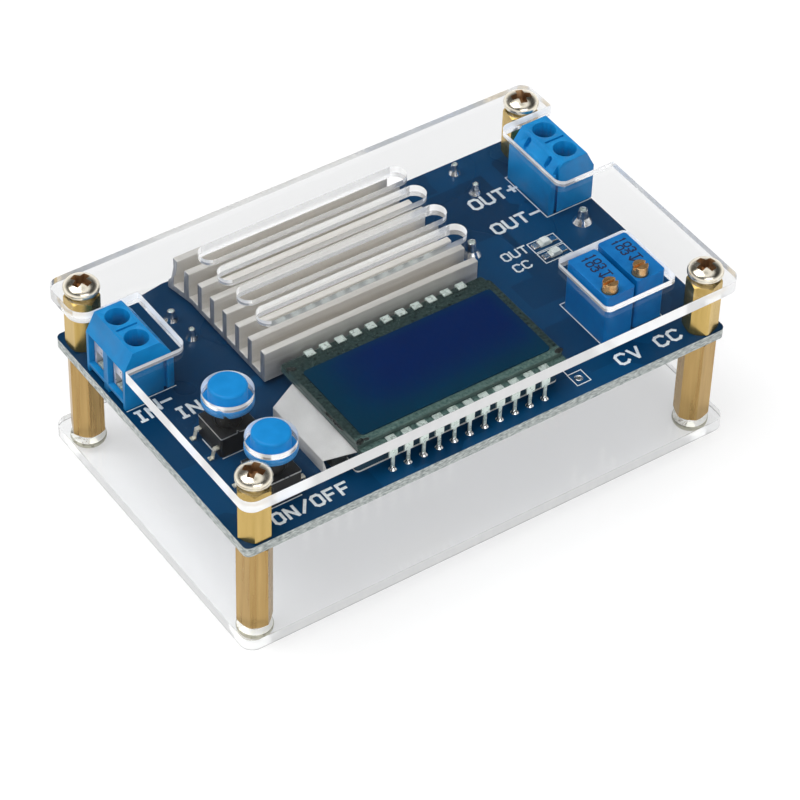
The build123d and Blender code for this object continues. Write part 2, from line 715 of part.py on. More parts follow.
def clamp_frame(y):
    """Square metal tube that takes the wire, with a thick threaded roof and a pin through the board."""
    outer_low = FLOOR_H
    height = CLAMP_TOP - outer_low
    depth = ENTRY_D - CLAMP_BACK_GAP - SILL_T
    ring = Pos(0, outer_low + height / 2) * Rectangle(CLAMP_W, height)
    hollow_low = outer_low + CLAMP_FLOOR
    hollow_high = CLAMP_TOP - CLAMP_ROOF
    ring -= Pos(0, (hollow_low + hollow_high) / 2) * Rectangle(CLAMP_W - 2 * CLAMP_WALL, hollow_high - hollow_low)
    frame = extrude(Plane.YZ.offset(SILL_T) * ring, depth)
    frame = Pos(0, y, 0) * frame
    frame -= column(THREAD_R + THREAD_GAP, hollow_high, CLAMP_TOP, DRIVER_X, y)
    frame += block((DRIVER_X - CLAMP_PIN_L / 2, DRIVER_X + CLAMP_PIN_L / 2),
                   (y - CLAMP_PIN_W / 2, y + CLAMP_PIN_W / 2), (-(BOARD_T + PIN_TAIL), outer_low))
    return frame


def leaf_top():
    return FLOOR_H + CLAMP_FLOOR + LEAF_GAP + LEAF_T


def wire_leaf(y):
    """Thin springy leaf between the screw tip and the wire."""
    half = CLAMP_W / 2 - CLAMP_WALL - LEAF_GAP
    return block((SILL_T + LEAF_GAP, ENTRY_D - CLAMP_BACK_GAP - LEAF_GAP), (y - half, y + half),
                 (leaf_top() - LEAF_T, leaf_top()))


def clamp_screw(y):
    """Slotted screw through the threaded roof, its tip on the leaf."""
    screw = column(THREAD_R, leaf_top(), CLAMP_TOP) + column(CLAMP_HEAD_R, CLAMP_TOP, CLAMP_TOP + CLAMP_HEAD_H)
    head_top = CLAMP_TOP + CLAMP_HEAD_H
    screw -= block((-CLAMP_HEAD_R, CLAMP_HEAD_R), (-CLAMP_SLOT_W / 2, CLAMP_SLOT_W / 2),
                   (head_top - CLAMP_SLOT_DEPTH, head_top))
    return Pos(DRIVER_X, y, 0) * screw


def make_terminals():
    for name, place in (("in", input_place()), ("out", output_place())):
        save(f"terminal_housing_{name}", place * terminal_housing())
        save(f"clamp_frames_{name}", group([place * clamp_frame(y) for y in pole_offsets()]))
        for index, y in enumerate(pole_offsets()):
            save(f"wire_leaf_{name}_{index + 1}", place * wire_leaf(y))
            save(f"clamp_screw_{name}_{index + 1}", place * clamp_screw(y))


# Trimmers

def trimmer_screw_site(middle):
    """Place of the adjusting screw, near the left front corner of the body."""
    return middle[0] - TRIM_W / 2 + TRIM_SCREW_FROM_SIDE, middle[1] - TRIM_L / 2 + TRIM_SCREW_FROM_END


def trimmer_body(middle):
    body = Pos(*middle, Z_TOP + TRIM_H / 2) * Box(TRIM_W, TRIM_L, TRIM_H)
    body = chamfer(body.edges().filter_by(Axis.Z), TRIM_EDGE)
    x, y = trimmer_screw_site(middle)
    top = Z_TOP + TRIM_H
    return body - column(TRIM_SCREW_R + TRIM_SCREW_GAP, top - TRIM_SCREW_SINK, top, x, y)


def trimmer_screw(middle):
    x, y = trimmer_screw_site(middle)
    top = Z_TOP + TRIM_H + TRIM_SCREW_RISE
    screw = column(TRIM_SCREW_R, Z_TOP + TRIM_H - TRIM_SCREW_SINK, top, x, y)
    return screw - block((x - TRIM_SCREW_R, x + TRIM_SCREW_R), (y - TRIM_SLOT_W / 2, y + TRIM_SLOT_W / 2),
                         (top - TRIM_SLOT_DEPTH, top))


def make_trimmers():
    middles = trimmer_middles()
    save("trimmer_bodies", group([trimmer_body(middle) for middle in middles.values()]))
    pins = [column(TRIM_PIN_R, Z_BOARD - PIN_TAIL, Z_TOP, x, y) for x, y in trimmer_pin_sites()]
    save("trimmer_pins", group(pins))
    for name, middle in middles.items():
        save(f"trimmer_screw_{name}", trimmer_screw(middle))


# Indicator lamps, soldered leads and what hangs under the board

def indicator_led(index):
    led = block((-LED_L / 2, LED_L / 2), (-LED_W / 2, LED_W / 2), (0, LED_BASE_H))
    led += block((-LED_LENS_L / 2, LED_LENS_L / 2), (-LED_W / 2, LED_W / 2), (LED_BASE_H, LED_BASE_H + LED_LENS_H))
    return Pos(PLATE_L / 2 - LED_FROM_RIGHT, PLATE_W / 2 - LED_FROM_BACK - index * LED_PITCH, Z_TOP) * led


def solder_cone(x, y, foot_r, height, lead_r):
    """Solder that climbs a lead, wide at the foot and narrow above its waist."""
    hole_r = lead_r + SOLDER_GAP
    tip_r = hole_r + SOLDER_TIP
    waist = (tip_r + (foot_r - tip_r) * SOLDER_WAIST[0], height * SOLDER_WAIST[1])
    section = Polygon((hole_r, 0), (foot_r, 0), waist, (tip_r, height), (hole_r, height), align=None)
    return Pos(x, y, Z_TOP) * revolve(Plane.XZ * section, Axis.Z)


def capacitor_can(can):
    """Rolled can hanging from the board, with the crimp that holds its bung."""
    wall = can["r"]
    mouth = wall - BUNG_INSET
    section = Polygon(
        (mouth, 0), (wall, 0), (wall, -CAN_GROOVE_H), (wall - CAN_GROOVE, -CAN_GROOVE_H - CAN_GROOVE),
        (wall, -CAN_GROOVE_H - 2 * CAN_GROOVE), (wall, CAN_EDGE - can["h"]), (wall - CAN_EDGE, -can["h"]),
        (0, -can["h"]), (0, -BUNG_T), (mouth, -BUNG_T), align=None)
    return Pos(can["x"], can["y"], Z_BOARD) * revolve(Plane.XZ * section, Axis.Z)


def capacitor_bung(can):
    return column(can["r"] - BUNG_INSET, Z_BOARD - BUNG_T, Z_BOARD, can["x"], can["y"])


def ring_section(low_r, high_r, height):
    """Section of a ring around z = 0, drawn in the plane of the sketch."""
    return Pos((low_r + high_r) / 2, 0) * Rectangle(high_r - low_r, height)


def coil_middle_z():
    return Z_BOARD - CORE_H / 2 - WIRE_D


def coil_place():
    return Pos(COIL_X, COIL_Y, coil_middle_z()) * Rot(0, 0, COIL_TURN)


def inductor_core():
    return coil_place() * revolve(Plane.XZ * ring_section(CORE_HOLE_R, CORE_R, CORE_H), Axis.Z)


def inductor_winding():
    """Wire wound round the ring, as one sleeve of the wire's thickness with a gap between its ends."""
    outside = ring_section(CORE_HOLE_R - WIRE_D, CORE_R + WIRE_D, CORE_H + 2 * WIRE_D)
    outside = chamfer(outside.vertices(), WINDING_EDGE)
    sleeve = outside - ring_section(CORE_HOLE_R, CORE_R, CORE_H)
    start = Rot(0, 0, 90 + (360 - WINDING_SPAN) / 2)
    return coil_place() * start * revolve(Plane.XZ * sleeve, Axis.Z, WINDING_SPAN)


def power_chip_xs():
    return [SINK_X - POWER_CHIP_PITCH / 2, SINK_X + POWER_CHIP_PITCH / 2]


def power_chip(x):
    body = Pos(x, SINK_Y, Z_BOARD - POWER_CHIP_H / 2) * Box(POWER_CHIP_L, POWER_CHIP_W, POWER_CHIP_H)
    return chamfer(body.faces().sort_by(Axis.Z)[0].edges(), POWER_CHIP_H / 10)


def power_chip_metal(x):
    """Mounting tab at the back of the package and two flat legs at the front, all on the board."""
    back = SINK_Y + POWER_CHIP_W / 2
    front = SINK_Y - POWER_CHIP_W / 2
    pieces = [block((x - POWER_CHIP_L / 2, x + POWER_CHIP_L / 2), (back, back + POWER_TAB_W),
                    (Z_BOARD - POWER_TAB_T, Z_BOARD))]
    for side in (-1, 1):
        leg_x = x + side * POWER_LEG_PITCH / 2
        pieces.append(block((leg_x - POWER_LEG_W / 2, leg_x + POWER_LEG_W / 2), (front - POWER_LEG_L, front),
                            (Z_BOARD - POWER_LEG_T, Z_BOARD)))
    return pieces


def control_chip_legs():
    """Two rows of legs of the control chip, which lies under the display."""
    leg = gull_wing(CONTROL_LEG_REACH, CONTROL_LEG_H, CONTROL_LEG_T, CONTROL_LEG_W)
    legs = []
    for index in range(CONTROL_LEGS):
        x = LCD_X + (index - (CONTROL_LEGS - 1) / 2) * CONTROL_LEG_PITCH
        for side, turn in ((-1, 90), (1, -90)):
            foot = Pos(x, LCD_Y + side * CONTROL_W / 2, Z_BOARD)
            legs.append(foot * Rot(180, 0, 0) * Rot(0, 0, turn) * leg)
    return legs


def make_components():
    save("indicator_leds", group([indicator_led(index) for index in range(2)]))
    joints = [solder_cone(x, y, SOLDER_R, SOLDER_H, LEAD_R) for x, y in can_lead_sites()]
    joints += [solder_cone(x, y, COIL_SOLDER_R, COIL_SOLDER_H, COIL_LEAD_R) for x, y in coil_lead_sites()]
    save("solder_joints", group(joints))
    cans = (IN_CAN, OUT_CAN)
    save("capacitor_cans", group([capacitor_can(can) for can in cans]))
    save("capacitor_bungs", group([capacitor_bung(can) for can in cans]))
    tip = Z_TOP + LEAD_RISE
    save("capacitor_leads", group([column(LEAD_R, Z_BOARD, tip, x, y) for x, y in can_lead_sites()]))
    save("inductor_core", inductor_core())
    save("inductor_winding", inductor_winding())
    save("inductor_leads", group([column(COIL_LEAD_R, coil_middle_z(), tip, x, y) for x, y in coil_lead_sites()]))
    save("power_chips", group([power_chip(x) for x in power_chip_xs()]))
    save("power_chip_metal", group([piece for x in power_chip_xs() for piece in power_chip_metal(x)]))
    control = Pos(LCD_X, LCD_Y, Z_BOARD - CONTROL_H / 2) * Box(CONTROL_L, CONTROL_W, CONTROL_H)
    save("control_chip", control)
    save("control_chip_legs", group(control_chip_legs()))


make_case()
make_board()
make_display()
make_buttons()
make_terminals()
make_trimmers()
make_components()
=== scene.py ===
import bmesh
import bpy
import math
from mathutils import Matrix, Vector


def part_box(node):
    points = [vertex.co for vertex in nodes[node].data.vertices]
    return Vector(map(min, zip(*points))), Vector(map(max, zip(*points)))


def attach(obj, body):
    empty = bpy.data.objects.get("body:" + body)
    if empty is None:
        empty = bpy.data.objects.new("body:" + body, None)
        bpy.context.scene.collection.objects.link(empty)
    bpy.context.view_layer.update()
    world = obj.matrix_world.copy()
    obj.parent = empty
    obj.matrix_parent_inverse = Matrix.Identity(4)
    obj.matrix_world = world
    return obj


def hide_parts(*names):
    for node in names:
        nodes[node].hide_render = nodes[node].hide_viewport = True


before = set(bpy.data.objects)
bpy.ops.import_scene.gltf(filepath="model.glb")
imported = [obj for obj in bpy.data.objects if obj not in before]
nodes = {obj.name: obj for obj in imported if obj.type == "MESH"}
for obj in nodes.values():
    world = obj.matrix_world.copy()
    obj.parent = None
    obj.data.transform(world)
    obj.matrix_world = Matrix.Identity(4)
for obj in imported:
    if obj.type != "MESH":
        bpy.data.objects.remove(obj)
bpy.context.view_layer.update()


# Studio. A pale floor and backdrop under soft light, with the camera where the photograph was taken from:
# above the front left corner, far away with a long lens.

mm = 0.001
white = (1.0, 1.0, 1.0, 1.0)
scene = bpy.context.scene
scene.view_settings.view_transform = "Standard"


def colour(red, green, blue):
    """Colour as it looks on a screen, 0 to 255, as the linear value that shaders take."""
    parts = [value / 255 for value in (red, green, blue)]
    return tuple(part / 12.92 if part <= 0.04045 else ((part + 0.055) / 1.055) ** 2.4
                 for part in parts) + (1.0,)


camera_data = bpy.data.cameras.new("camera")
camera_data.sensor_width = 36.0
camera_data.lens = 162.24
camera_data.clip_start = 0.01
camera_data.clip_end = 10.0
camera = bpy.data.objects.new("camera", camera_data)
camera_right = Vector((0.826019, -0.563161, 0.023296))
camera_up = Vector((0.374967, 0.579904, 0.723265))
camera_back = Vector((-0.420824, -0.588695, 0.690178))
camera_place = Vector((-0.21640, -0.30483, 0.36391))
camera_turn = Matrix((camera_right, camera_up, camera_back)).transposed().to_4x4()
camera.matrix_world = Matrix.Translation(camera_place) @ camera_turn
scene.collection.objects.link(camera)
scene.camera = camera
lamp_aim = Vector((0, 0, 0.01))


def soft_lamp(name, place, size, power):
    """Wide lamp that looks at the module."""
    data = bpy.data.lights.new(name, "AREA")
    data.shape = "RECTANGLE"
    data.size, data.size_y = size
    data.energy = power
    lamp = bpy.data.objects.new(name, data)
    lamp.location = place
    lamp.rotation_euler = (lamp_aim - Vector(place)).to_track_quat("-Z", "Y").to_euler()
    scene.collection.objects.link(lamp)


soft_lamp("lamp_high_left", (-0.37, 0.16, 0.81), (0.65, 0.65), 3.9)
soft_lamp("lamp_front", (-0.20, -0.80, 0.50), (0.7, 0.4), 2.2)


def set_plain(node, values):
    """Plain values on a node's own sockets."""
    for name, value in values.items():
        node.inputs[name].default_value = value


def add_node(tree, kind, values=None, **settings):
    """Shader node with its settings and the plain values of its sockets."""
    node = tree.nodes.new("ShaderNode" + kind)
    for name, value in settings.items():
        setattr(node, name, value)
    set_plain(node, values or {})
    return node


def join(tree, *links):
    """Links outputs to inputs, each link as (node, output, node, input) or as the two sockets."""
    for link in links:
        if len(link) == 4:
            link = (link[0].outputs[link[1]], link[2].inputs[link[3]])
        tree.links.new(*link)


# what polished metal and acrylic mirror, as a grey level at each sine of the height above the horizon
mirror_levels = ((0.16, 0.95), (0.36, 0.30), (0.50, 0.04), (0.80, 0.04), (0.88, 0.95), (0.96, 0.95))
world = bpy.data.worlds.new("studio")
world.use_nodes = True
scene.world = world
tree = world.node_tree
tree.nodes.clear()
path = add_node(tree, "LightPath")
place = add_node(tree, "TexCoord")
split = add_node(tree, "SeparateXYZ")
height = add_node(tree, "ValToRGB")
height.color_ramp.elements[0].color = white
height.color_ramp.elements[1].color = (0.35, 0.35, 0.35, 1.0)
for position, level in mirror_levels:
    height.color_ramp.elements.new(position).color = (level, level * 0.99, level * 0.97, 1.0)
room = add_node(tree, "Background", {"Color": white, "Strength": 0.60})
mirror = add_node(tree, "Background")
backdrop = add_node(tree, "Background", {"Color": white})
pick_mirror = add_node(tree, "MixShader")
pick_backdrop = add_node(tree, "MixShader")
sky = add_node(tree, "OutputWorld")
join(tree, (place, "Generated", split, 0), (split, "Z", height, "Fac"), (height, "Color", mirror, "Color"),
     (room, 0, pick_mirror, 1), (mirror, 0, pick_mirror, 2), (path, "Is Glossy Ray", pick_mirror, "Fac"),
     (pick_mirror, 0, pick_backdrop, 1), (backdrop, 0, pick_backdrop, 2),
     (path, "Is Camera Ray", pick_backdrop, "Fac"), (pick_backdrop, 0, sky, "Surface"))


def new_material(name):
    """Material with its node tree and its Principled shader, ready for more nodes."""
    material = bpy.data.materials.new(name)
    material.use_nodes = True
    return material, material.node_tree, material.node_tree.nodes["Principled BSDF"]


floor_material, tree, shader = new_material("pale_floor")
set_plain(shader, {"Base Color": (0.50, 0.50, 0.50, 1.0), "Roughness": 0.9, "Specular IOR Level": 0.0})
rays = add_node(tree, "LightPath")
either = add_node(tree, "Math", operation="MAXIMUM")
any_seen = add_node(tree, "Math", operation="MAXIMUM")
strength = add_node(tree, "Math", {1: 0.56}, operation="MULTIPLY")
glow = add_node(tree, "Emission")
add = add_node(tree, "AddShader")
join(tree, (rays, "Is Camera Ray", either, 0), (rays, "Is Glossy Ray", either, 1), (either, 0, any_seen, 0),
     (rays, "Is Transmission Ray", any_seen, 1), (any_seen, 0, strength, 0),
     (strength, 0, glow, "Strength"), (shader, 0, add, 0), (glow, 0, add, 1),
     (add.outputs[0], tree.nodes["Material Output"].inputs["Surface"]))
bpy.ops.mesh.primitive_plane_add(size=6.0, location=(0, 0, -0.00002))
floor = bpy.context.object
floor.name = "floor"
floor.data.materials.append(floor_material)


# Base plate and cover plate. Two sheets of clear acrylic, 2 mm thick, cut by a laser that leaves the edges
# milky; a painted glow stands in for their brightness. The cover is cut out for the heatsink's air, the
# buttons, trimmers and terminals.

# soft random variation over a surface, as a mask and as a bumped normal
uneven = bpy.data.node_groups.new("uneven_surface", "ShaderNodeTree")
sockets = uneven.interface
for name, kind, value in (("Size", "NodeSocketFloat", 400.0), ("Detail", "NodeSocketFloat", 3.0),
                          ("Bump", "NodeSocketFloat", 0.1), ("Depth", "NodeSocketFloat", 0.00002),
                          ("Stretch", "NodeSocketVector", (1, 1, 1))):
    sockets.new_socket(name=name, in_out="INPUT", socket_type=kind).default_value = value
sockets.new_socket(name="Mask", in_out="OUTPUT", socket_type="NodeSocketFloat")
sockets.new_socket(name="Normal", in_out="OUTPUT", socket_type="NodeSocketVector")
start = uneven.nodes.new("NodeGroupInput")
end = uneven.nodes.new("NodeGroupOutput")
where = add_node(uneven, "TexCoord")
stretch = add_node(uneven, "VectorMath", operation="MULTIPLY")
noise = add_node(uneven, "TexNoise")
bump = add_node(uneven, "Bump")
join(uneven, (where, "Object", stretch, 0), (start, "Stretch", stretch, 1), (stretch, 0, noise, "Vector"),
     (start, "Size", noise, "Scale"), (start, "Detail", noise, "Detail"), (noise, "Fac", bump, "Height"),
     (start, "Bump", bump, "Strength"), (start, "Depth", bump, "Distance"), (noise, "Fac", end, "Mask"),
     (bump, "Normal", end, "Normal"))


def add_uneven(tree, size, bump=0.1, depth=0.00002, detail=3.0, stretch=(1, 1, 1)):
    """The shared surface variation in a material, with this material's own values."""
    return add_node(tree, "Group", {"Size": size, "Bump": bump, "Depth": depth, "Detail": detail,
                                    "Stretch": stretch}, node_tree=uneven)


def spread(tree, mask, low, high):
    """A noise mask stretched between two values."""
    node = add_node(tree, "MapRange", {"From Min": 0.3, "From Max": 0.7, "To Min": low, "To Max": high})
    join(tree, (mask, node.inputs["Value"]))
    return node.outputs["Result"]


def two_tone(tree, mask, first, second):
    """Colour that runs with a mask between two tones, each a plain colour or a node's output."""
    node = add_node(tree, "Mix", data_type="RGBA")
    for name, tone in (("A", first), ("B", second)):
        if isinstance(tone, tuple):
            node.inputs[name].default_value = tone
        else:
            join(tree, (tone, node.inputs[name]))
    join(tree, (mask, node.inputs["Factor"]))
    return node.outputs["Result"]


def mottled(tree, vary, first, second):
    """Two tones spread over a surface variation."""
    return two_tone(tree, spread(tree, vary.outputs["Mask"], 0.0, 1.0), first, second)


def surface(tree, shader, base, normal, rough=None):
    """Gives a Principled shader its colour, its bumped normal and, if asked, an uneven roughness."""
    join(tree, (base, shader.inputs["Base Color"]), (normal, "Normal", shader, "Normal"))
    if rough:
        join(tree, (rough, shader.inputs["Roughness"]))


def uneven_finish(name, first, second, rough, size, metallic=0.0, bump=0.1, depth=0.00002,
                  stretch=(1, 1, 1), specular=0.5, coat=0.0):
    """Finish with a little colour, gloss and surface variation, its tones as they look on a screen."""
    material, tree, shader = new_material(name)
    vary = add_uneven(tree, size, bump, depth, stretch=stretch)
    surface(tree, shader, mottled(tree, vary, colour(*first), colour(*second)), vary,
            spread(tree, vary.outputs["Mask"], *rough))
    set_plain(shader, {"Metallic": metallic, "Specular IOR Level": specular, "Coat Weight": coat})
    return material


def clear_sheet(name, size, bump, depth, stretch, tones, shadow_tint, values):
    """Acrylic finish. Lamp light passes it with a tint, instead of leaving a black shadow."""
    material, tree, shader = new_material(name)
    vary = add_uneven(tree, size, bump, depth, stretch=stretch)
    set_plain(shader, {"IOR": 1.49, **values})
    through = add_node(tree, "BsdfTransparent", {"Color": shadow_tint})
    rays = add_node(tree, "LightPath")
    mix = add_node(tree, "MixShader")
    surface(tree, shader, two_tone(tree, vary.outputs["Mask"], *tones), vary)
    join(tree, (rays, "Is Shadow Ray", mix, "Fac"), (shader, 0, mix, 1), (through, 0, mix, 2),
         (mix.outputs[0], tree.nodes["Material Output"].inputs["Surface"]))
    return material


def cut_acrylic(name, clear, glow, bump, tone):
    """Cut face of a sheet, between clear and milky, with the laser's fine upright lines and a painted glow."""
    return clear_sheet(name, 900.0, bump, 0.00003, (1, 1, 0.15), (tone, white), (0.90, 0.91, 0.92, 1),
                       {"Roughness": 0.16, "Transmission Weight": clear, "Emission Color": white,
                        "Emission Strength": glow})


acrylic = clear_sheet("clear_acrylic", 60.0, 0.02, 0.00001, (1, 1, 1),
                      ((0.925, 0.93, 0.935, 1), (0.945, 0.95, 0.955, 1)), (0.93, 0.94, 0.95, 1),
                      {"Roughness": 0.0, "Transmission Weight": 1.0})
# the cut faces glow a little: painted light for the brightness of the milky edges
cut_edge = cut_acrylic("cut_acrylic_edge", 0.35, 0.22, 0.2, colour(238, 240, 242))
slot_edge = cut_acrylic("slot_acrylic_edge", 0.80, 0.12, 0.03, colour(238, 240, 242))
base_edge = cut_acrylic("base_acrylic_edge", 0.45, 0.25, 0.1, colour(232, 235, 237))
base_line = cut_acrylic("base_acrylic_line", 0.3, 0.0, 0.1, colour(150, 154, 157))


def plain_mesh(name, source):
    """Mesh as the modifiers of an object leave it, with the object removed."""
    bpy.context.view_layer.update()
    shaped = source.evaluated_get(bpy.context.evaluated_depsgraph_get())
    mesh = bpy.data.meshes.new_from_object(shaped)
    mesh.name = name
    bpy.data.objects.remove(source)
    return mesh


def mesh_from(name, shape):
    """Mesh of a finished bmesh, which is freed."""
    mesh = bpy.data.meshes.new(name)
    shape.to_mesh(mesh)
    shape.free()
    return mesh


def loose_object(name, mesh):
    """Object for a mesh, linked to the scene."""
    piece = bpy.data.objects.new(name, mesh)
    scene.collection.objects.link(piece)
    return piece


def softened(name, mesh, width, segments=2, angle=40, split_at=None):
    """Mesh with its triangles merged into flat faces, split at a height if asked, its sharp edges rounded."""
    shape = bmesh.new()
    shape.from_mesh(mesh)
    bmesh.ops.remove_doubles(shape, verts=shape.verts, dist=0.000002)
    bmesh.ops.dissolve_limit(shape, angle_limit=math.radians(1.0), verts=shape.verts, edges=shape.edges)
    if split_at is not None:
        bmesh.ops.bisect_plane(shape, geom=shape.verts[:] + shape.edges[:] + shape.faces[:],
                               plane_co=(0, 0, split_at), plane_no=(0, 0, 1))
    for face in shape.faces:
        face.smooth = True
    merged = mesh_from(name, shape)
    merged.set_sharp_from_angle(angle=math.radians(angle))
    draft = loose_object(name, merged)
    bevel = draft.modifiers.new("edges", "BEVEL")
    bevel.width = width * mm
    bevel.segments = segments
    bevel.limit_method = "ANGLE"
    bevel.angle_limit = math.radians(angle)
    bevel.harden_normals = True
    bevel.miter_outer = "MITER_ARC"
    return plain_mesh(name, draft)


def set_in_place(name, mesh, materials, replaced=(), body="module"):
    """Finished piece from a mesh that already has its place in it."""
    mesh.materials.clear()
    for material in materials:
        mesh.materials.append(material)
    piece = loose_object(name, mesh)
    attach(piece, body)
    if replaced:
        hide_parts(*replaced)
    return piece


milky_depth = 1.15 * mm
line_height = 0.22 * mm
corner_reach = 3.2 * mm
edge_band, vent_end = 0.3 * mm, 1.2 * mm
clear_corner = Vector((-30.0, 16.0)) * mm
sink_low, sink_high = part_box("heatsink")
for node, edge in (("base_plate", base_edge), ("top_plate", cut_edge)):
    low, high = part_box(node)
    is_base = node == "base_plate"
    split_at = low.z + line_height if is_base else high.z - milky_depth
    sheet = softened(node + "_sheet", nodes[node].data, 0.12, split_at=split_at)
    looks = [acrylic, edge, slot_edge, base_line]
    piece = set_in_place(node + "_sheet", sheet, looks, [node])
    for face in piece.data.polygons:
        x, y, z = face.center
        near = (high.x - abs(x), high.y - abs(y))
        outside = min(near) < edge_band or max(near) < corner_reach
        over_sink = sink_low.x < x < sink_high.x - vent_end and sink_low.y < y < sink_high.y
        low_inside = z < split_at and not outside
        in_clear_corner = outside and x < clear_corner.x and y > clear_corner.y
        clear = (over_sink and abs(face.normal.x) < 0.3) or low_inside or in_clear_corner
        lined = is_base and outside and z < split_at
        face.material_index = 0 if abs(face.normal.z) > 0.9 else 3 if lined else 2 if clear else 1


# Case screws. Eight small nickel-plated machine screws with domed heads and a cross recess, four down through
# the cover into the upper standoffs and four up through the base into the lower ones.

def lathe(name, profile, steps=48):
    """Solid of revolution round Z from (radius, height) pairs in millimetres, closed on the axis."""
    shape = bmesh.new()
    rings = []
    for radius, z in profile:
        angles = [2 * math.pi * step / steps for step in range(steps if radius > 0 else 1)]
        rings.append([shape.verts.new((radius * mm * math.cos(angle), radius * mm * math.sin(angle), z * mm))
                      for angle in angles])
    for low, high in zip(rings, rings[1:]):
        if len(low) == len(high) == 1:
            continue
        for step in range(steps):
            after = (step + 1) % steps
            if len(low) == 1:
                shape.faces.new([low[0], high[after], high[step]])
            elif len(high) == 1:
                shape.faces.new([low[step], low[after], high[0]])
            else:
                shape.faces.new([low[step], low[after], high[after], high[step]])
    for face in shape.faces:
        face.smooth = True
    bmesh.ops.recalc_face_normals(shape, faces=shape.faces)
    return mesh_from(name, shape)


def arc_points(radius, z_middle, radius_step, z_step, first, last, count):
    """Points (radius, height) along an ellipse quarter or a part of it, angles in degrees."""
    angles = [math.radians(first + (last - first) * index / count) for index in range(count + 1)]
    return [(radius + radius_step * math.cos(angle), z_middle + z_step * math.sin(angle)) for angle in angles]


def cut_away(name, mesh, cutter, operation="DIFFERENCE"):
    """Mesh with another mesh cut out of it."""
    draft = loose_object(name, mesh)
    tool = loose_object(name + "_tool", cutter)
    cut = draft.modifiers.new("cut", "BOOLEAN")
    cut.object = tool
    cut.operation = operation
    cut.solver = "EXACT"
    result = plain_mesh(name, draft)
    bpy.data.objects.remove(tool)
    result.set_sharp_from_angle(angle=math.radians(35))
    return result


def prism(name, low_outline, high_outline, low, high):
    """Solid in millimetres between two outlines with as many corners, one at each height."""
    shape = bmesh.new()
    bottom = [shape.verts.new((x * mm, y * mm, low * mm)) for x, y in low_outline]
    top = [shape.verts.new((x * mm, y * mm, high * mm)) for x, y in high_outline]
    shape.faces.new(bottom)
    shape.faces.new(top)
    for index in range(len(bottom)):
        after = (index + 1) % len(bottom)
        shape.faces.new([bottom[index], bottom[after], top[after], top[index]])
    bmesh.ops.recalc_face_normals(shape, faces=shape.faces)
    return mesh_from(name, shape)


def cross_outline(length, width):
    """Corners of a cross with equal arms, in order."""
    far, near = length / 2, width / 2
    return [(far, -near), (far, near), (near, near), (near, far), (-near, far), (-near, near),
            (-far, near), (-far, -near), (-near, -near), (-near, -far), (near, -far), (near, -near)]


# Geometry Nodes tree that puts one piece at every point, turned and scaled by the point's own values
set_out_pieces = tree = bpy.data.node_groups.new("set_out_pieces", "GeometryNodeTree")
for name, way, kind in (("Geometry", "INPUT", "Geometry"), ("Piece", "INPUT", "Object"),
                        ("Finish", "INPUT", "Material"), ("Geometry", "OUTPUT", "Geometry")):
    tree.interface.new_socket(name=name, in_out=way, socket_type="NodeSocket" + kind)
start = tree.nodes.new("NodeGroupInput")
end = tree.nodes.new("NodeGroupOutput")
piece = tree.nodes.new("GeometryNodeObjectInfo")
piece.inputs["As Instance"].default_value = True
place = tree.nodes.new("GeometryNodeInstanceOnPoints")
for name, socket in (("turn", "Rotation"), ("scale", "Scale")):
    own = tree.nodes.new("GeometryNodeInputNamedAttribute")
    own.data_type = "FLOAT_VECTOR"
    own.inputs["Name"].default_value = name
    join(tree, (own, "Attribute", place, socket))
real = tree.nodes.new("GeometryNodeRealizeInstances")
finish = tree.nodes.new("GeometryNodeSetMaterial")
join(tree, (start, "Piece", piece, "Object"), (start, "Geometry", place, "Points"),
     (piece, "Geometry", place, "Instance"), (place, "Instances", real, "Geometry"),
     (real, "Geometry", finish, "Geometry"), (start, "Finish", finish, "Material"),
     (finish, "Geometry", end, "Geometry"))


def set_out(name, mesh, sites, material, turns=None, scales=None, tilt=0):
    """One mesh with the piece at each site, in millimetres, turned round Z by degrees, tilted and scaled."""
    points = bpy.data.meshes.new(name + "_sites")
    points.from_pydata([Vector(site) * mm for site in sites], [], [])
    turn = points.attributes.new("turn", "FLOAT_VECTOR", "POINT")
    scale = points.attributes.new("scale", "FLOAT_VECTOR", "POINT")
    for index in range(len(sites)):
        turn.data[index].vector = (math.radians(tilt), 0, math.radians(turns[index] if turns else 0))
        scale.data[index].vector = scales[index] if scales else (1, 1, 1)
    holder = loose_object(name, points)
    model = loose_object(name + "_model", mesh)
    modifier = holder.modifiers.new("set_out", "NODES")
    modifier.node_group = set_out_pieces
    for label, value in (("Piece", model), ("Finish", material)):
        modifier[set_out_pieces.interface.items_tree[label].identifier] = value
    result = plain_mesh(name, holder)
    bpy.data.objects.remove(model)
    return result


def node_box(node):
    """Lowest and highest corner of a CAD node, in millimetres."""
    low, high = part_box(node)
    return low / mm, high / mm


nickel = uneven_finish("nickel_plate", (234, 226, 206), (250, 244, 230), (0.18, 0.28), 900.0, metallic=1.0,
                       bump=0.10)
# under the base plate a darker copy of the nickel is painted shade on the screw heads, and a pale copy with a
# glow is painted light on their flat seats
nickel_shaded = uneven_finish("nickel_plate_shaded", (176, 174, 156), (208, 206, 190), (0.25, 0.35), 900.0,
                            metallic=0.5, bump=0.10)
nickel_seat_glow = uneven_finish("nickel_plate_seat_glow", (238, 238, 232), (252, 252, 246), (0.4, 0.5), 900.0,
                            bump=0.05, specular=0.2)
set_plain(nickel_seat_glow.node_tree.nodes["Principled BSDF"], {"Emission Color": (1.0, 0.99, 0.96, 1.0),
                                                           "Emission Strength": 0.3})
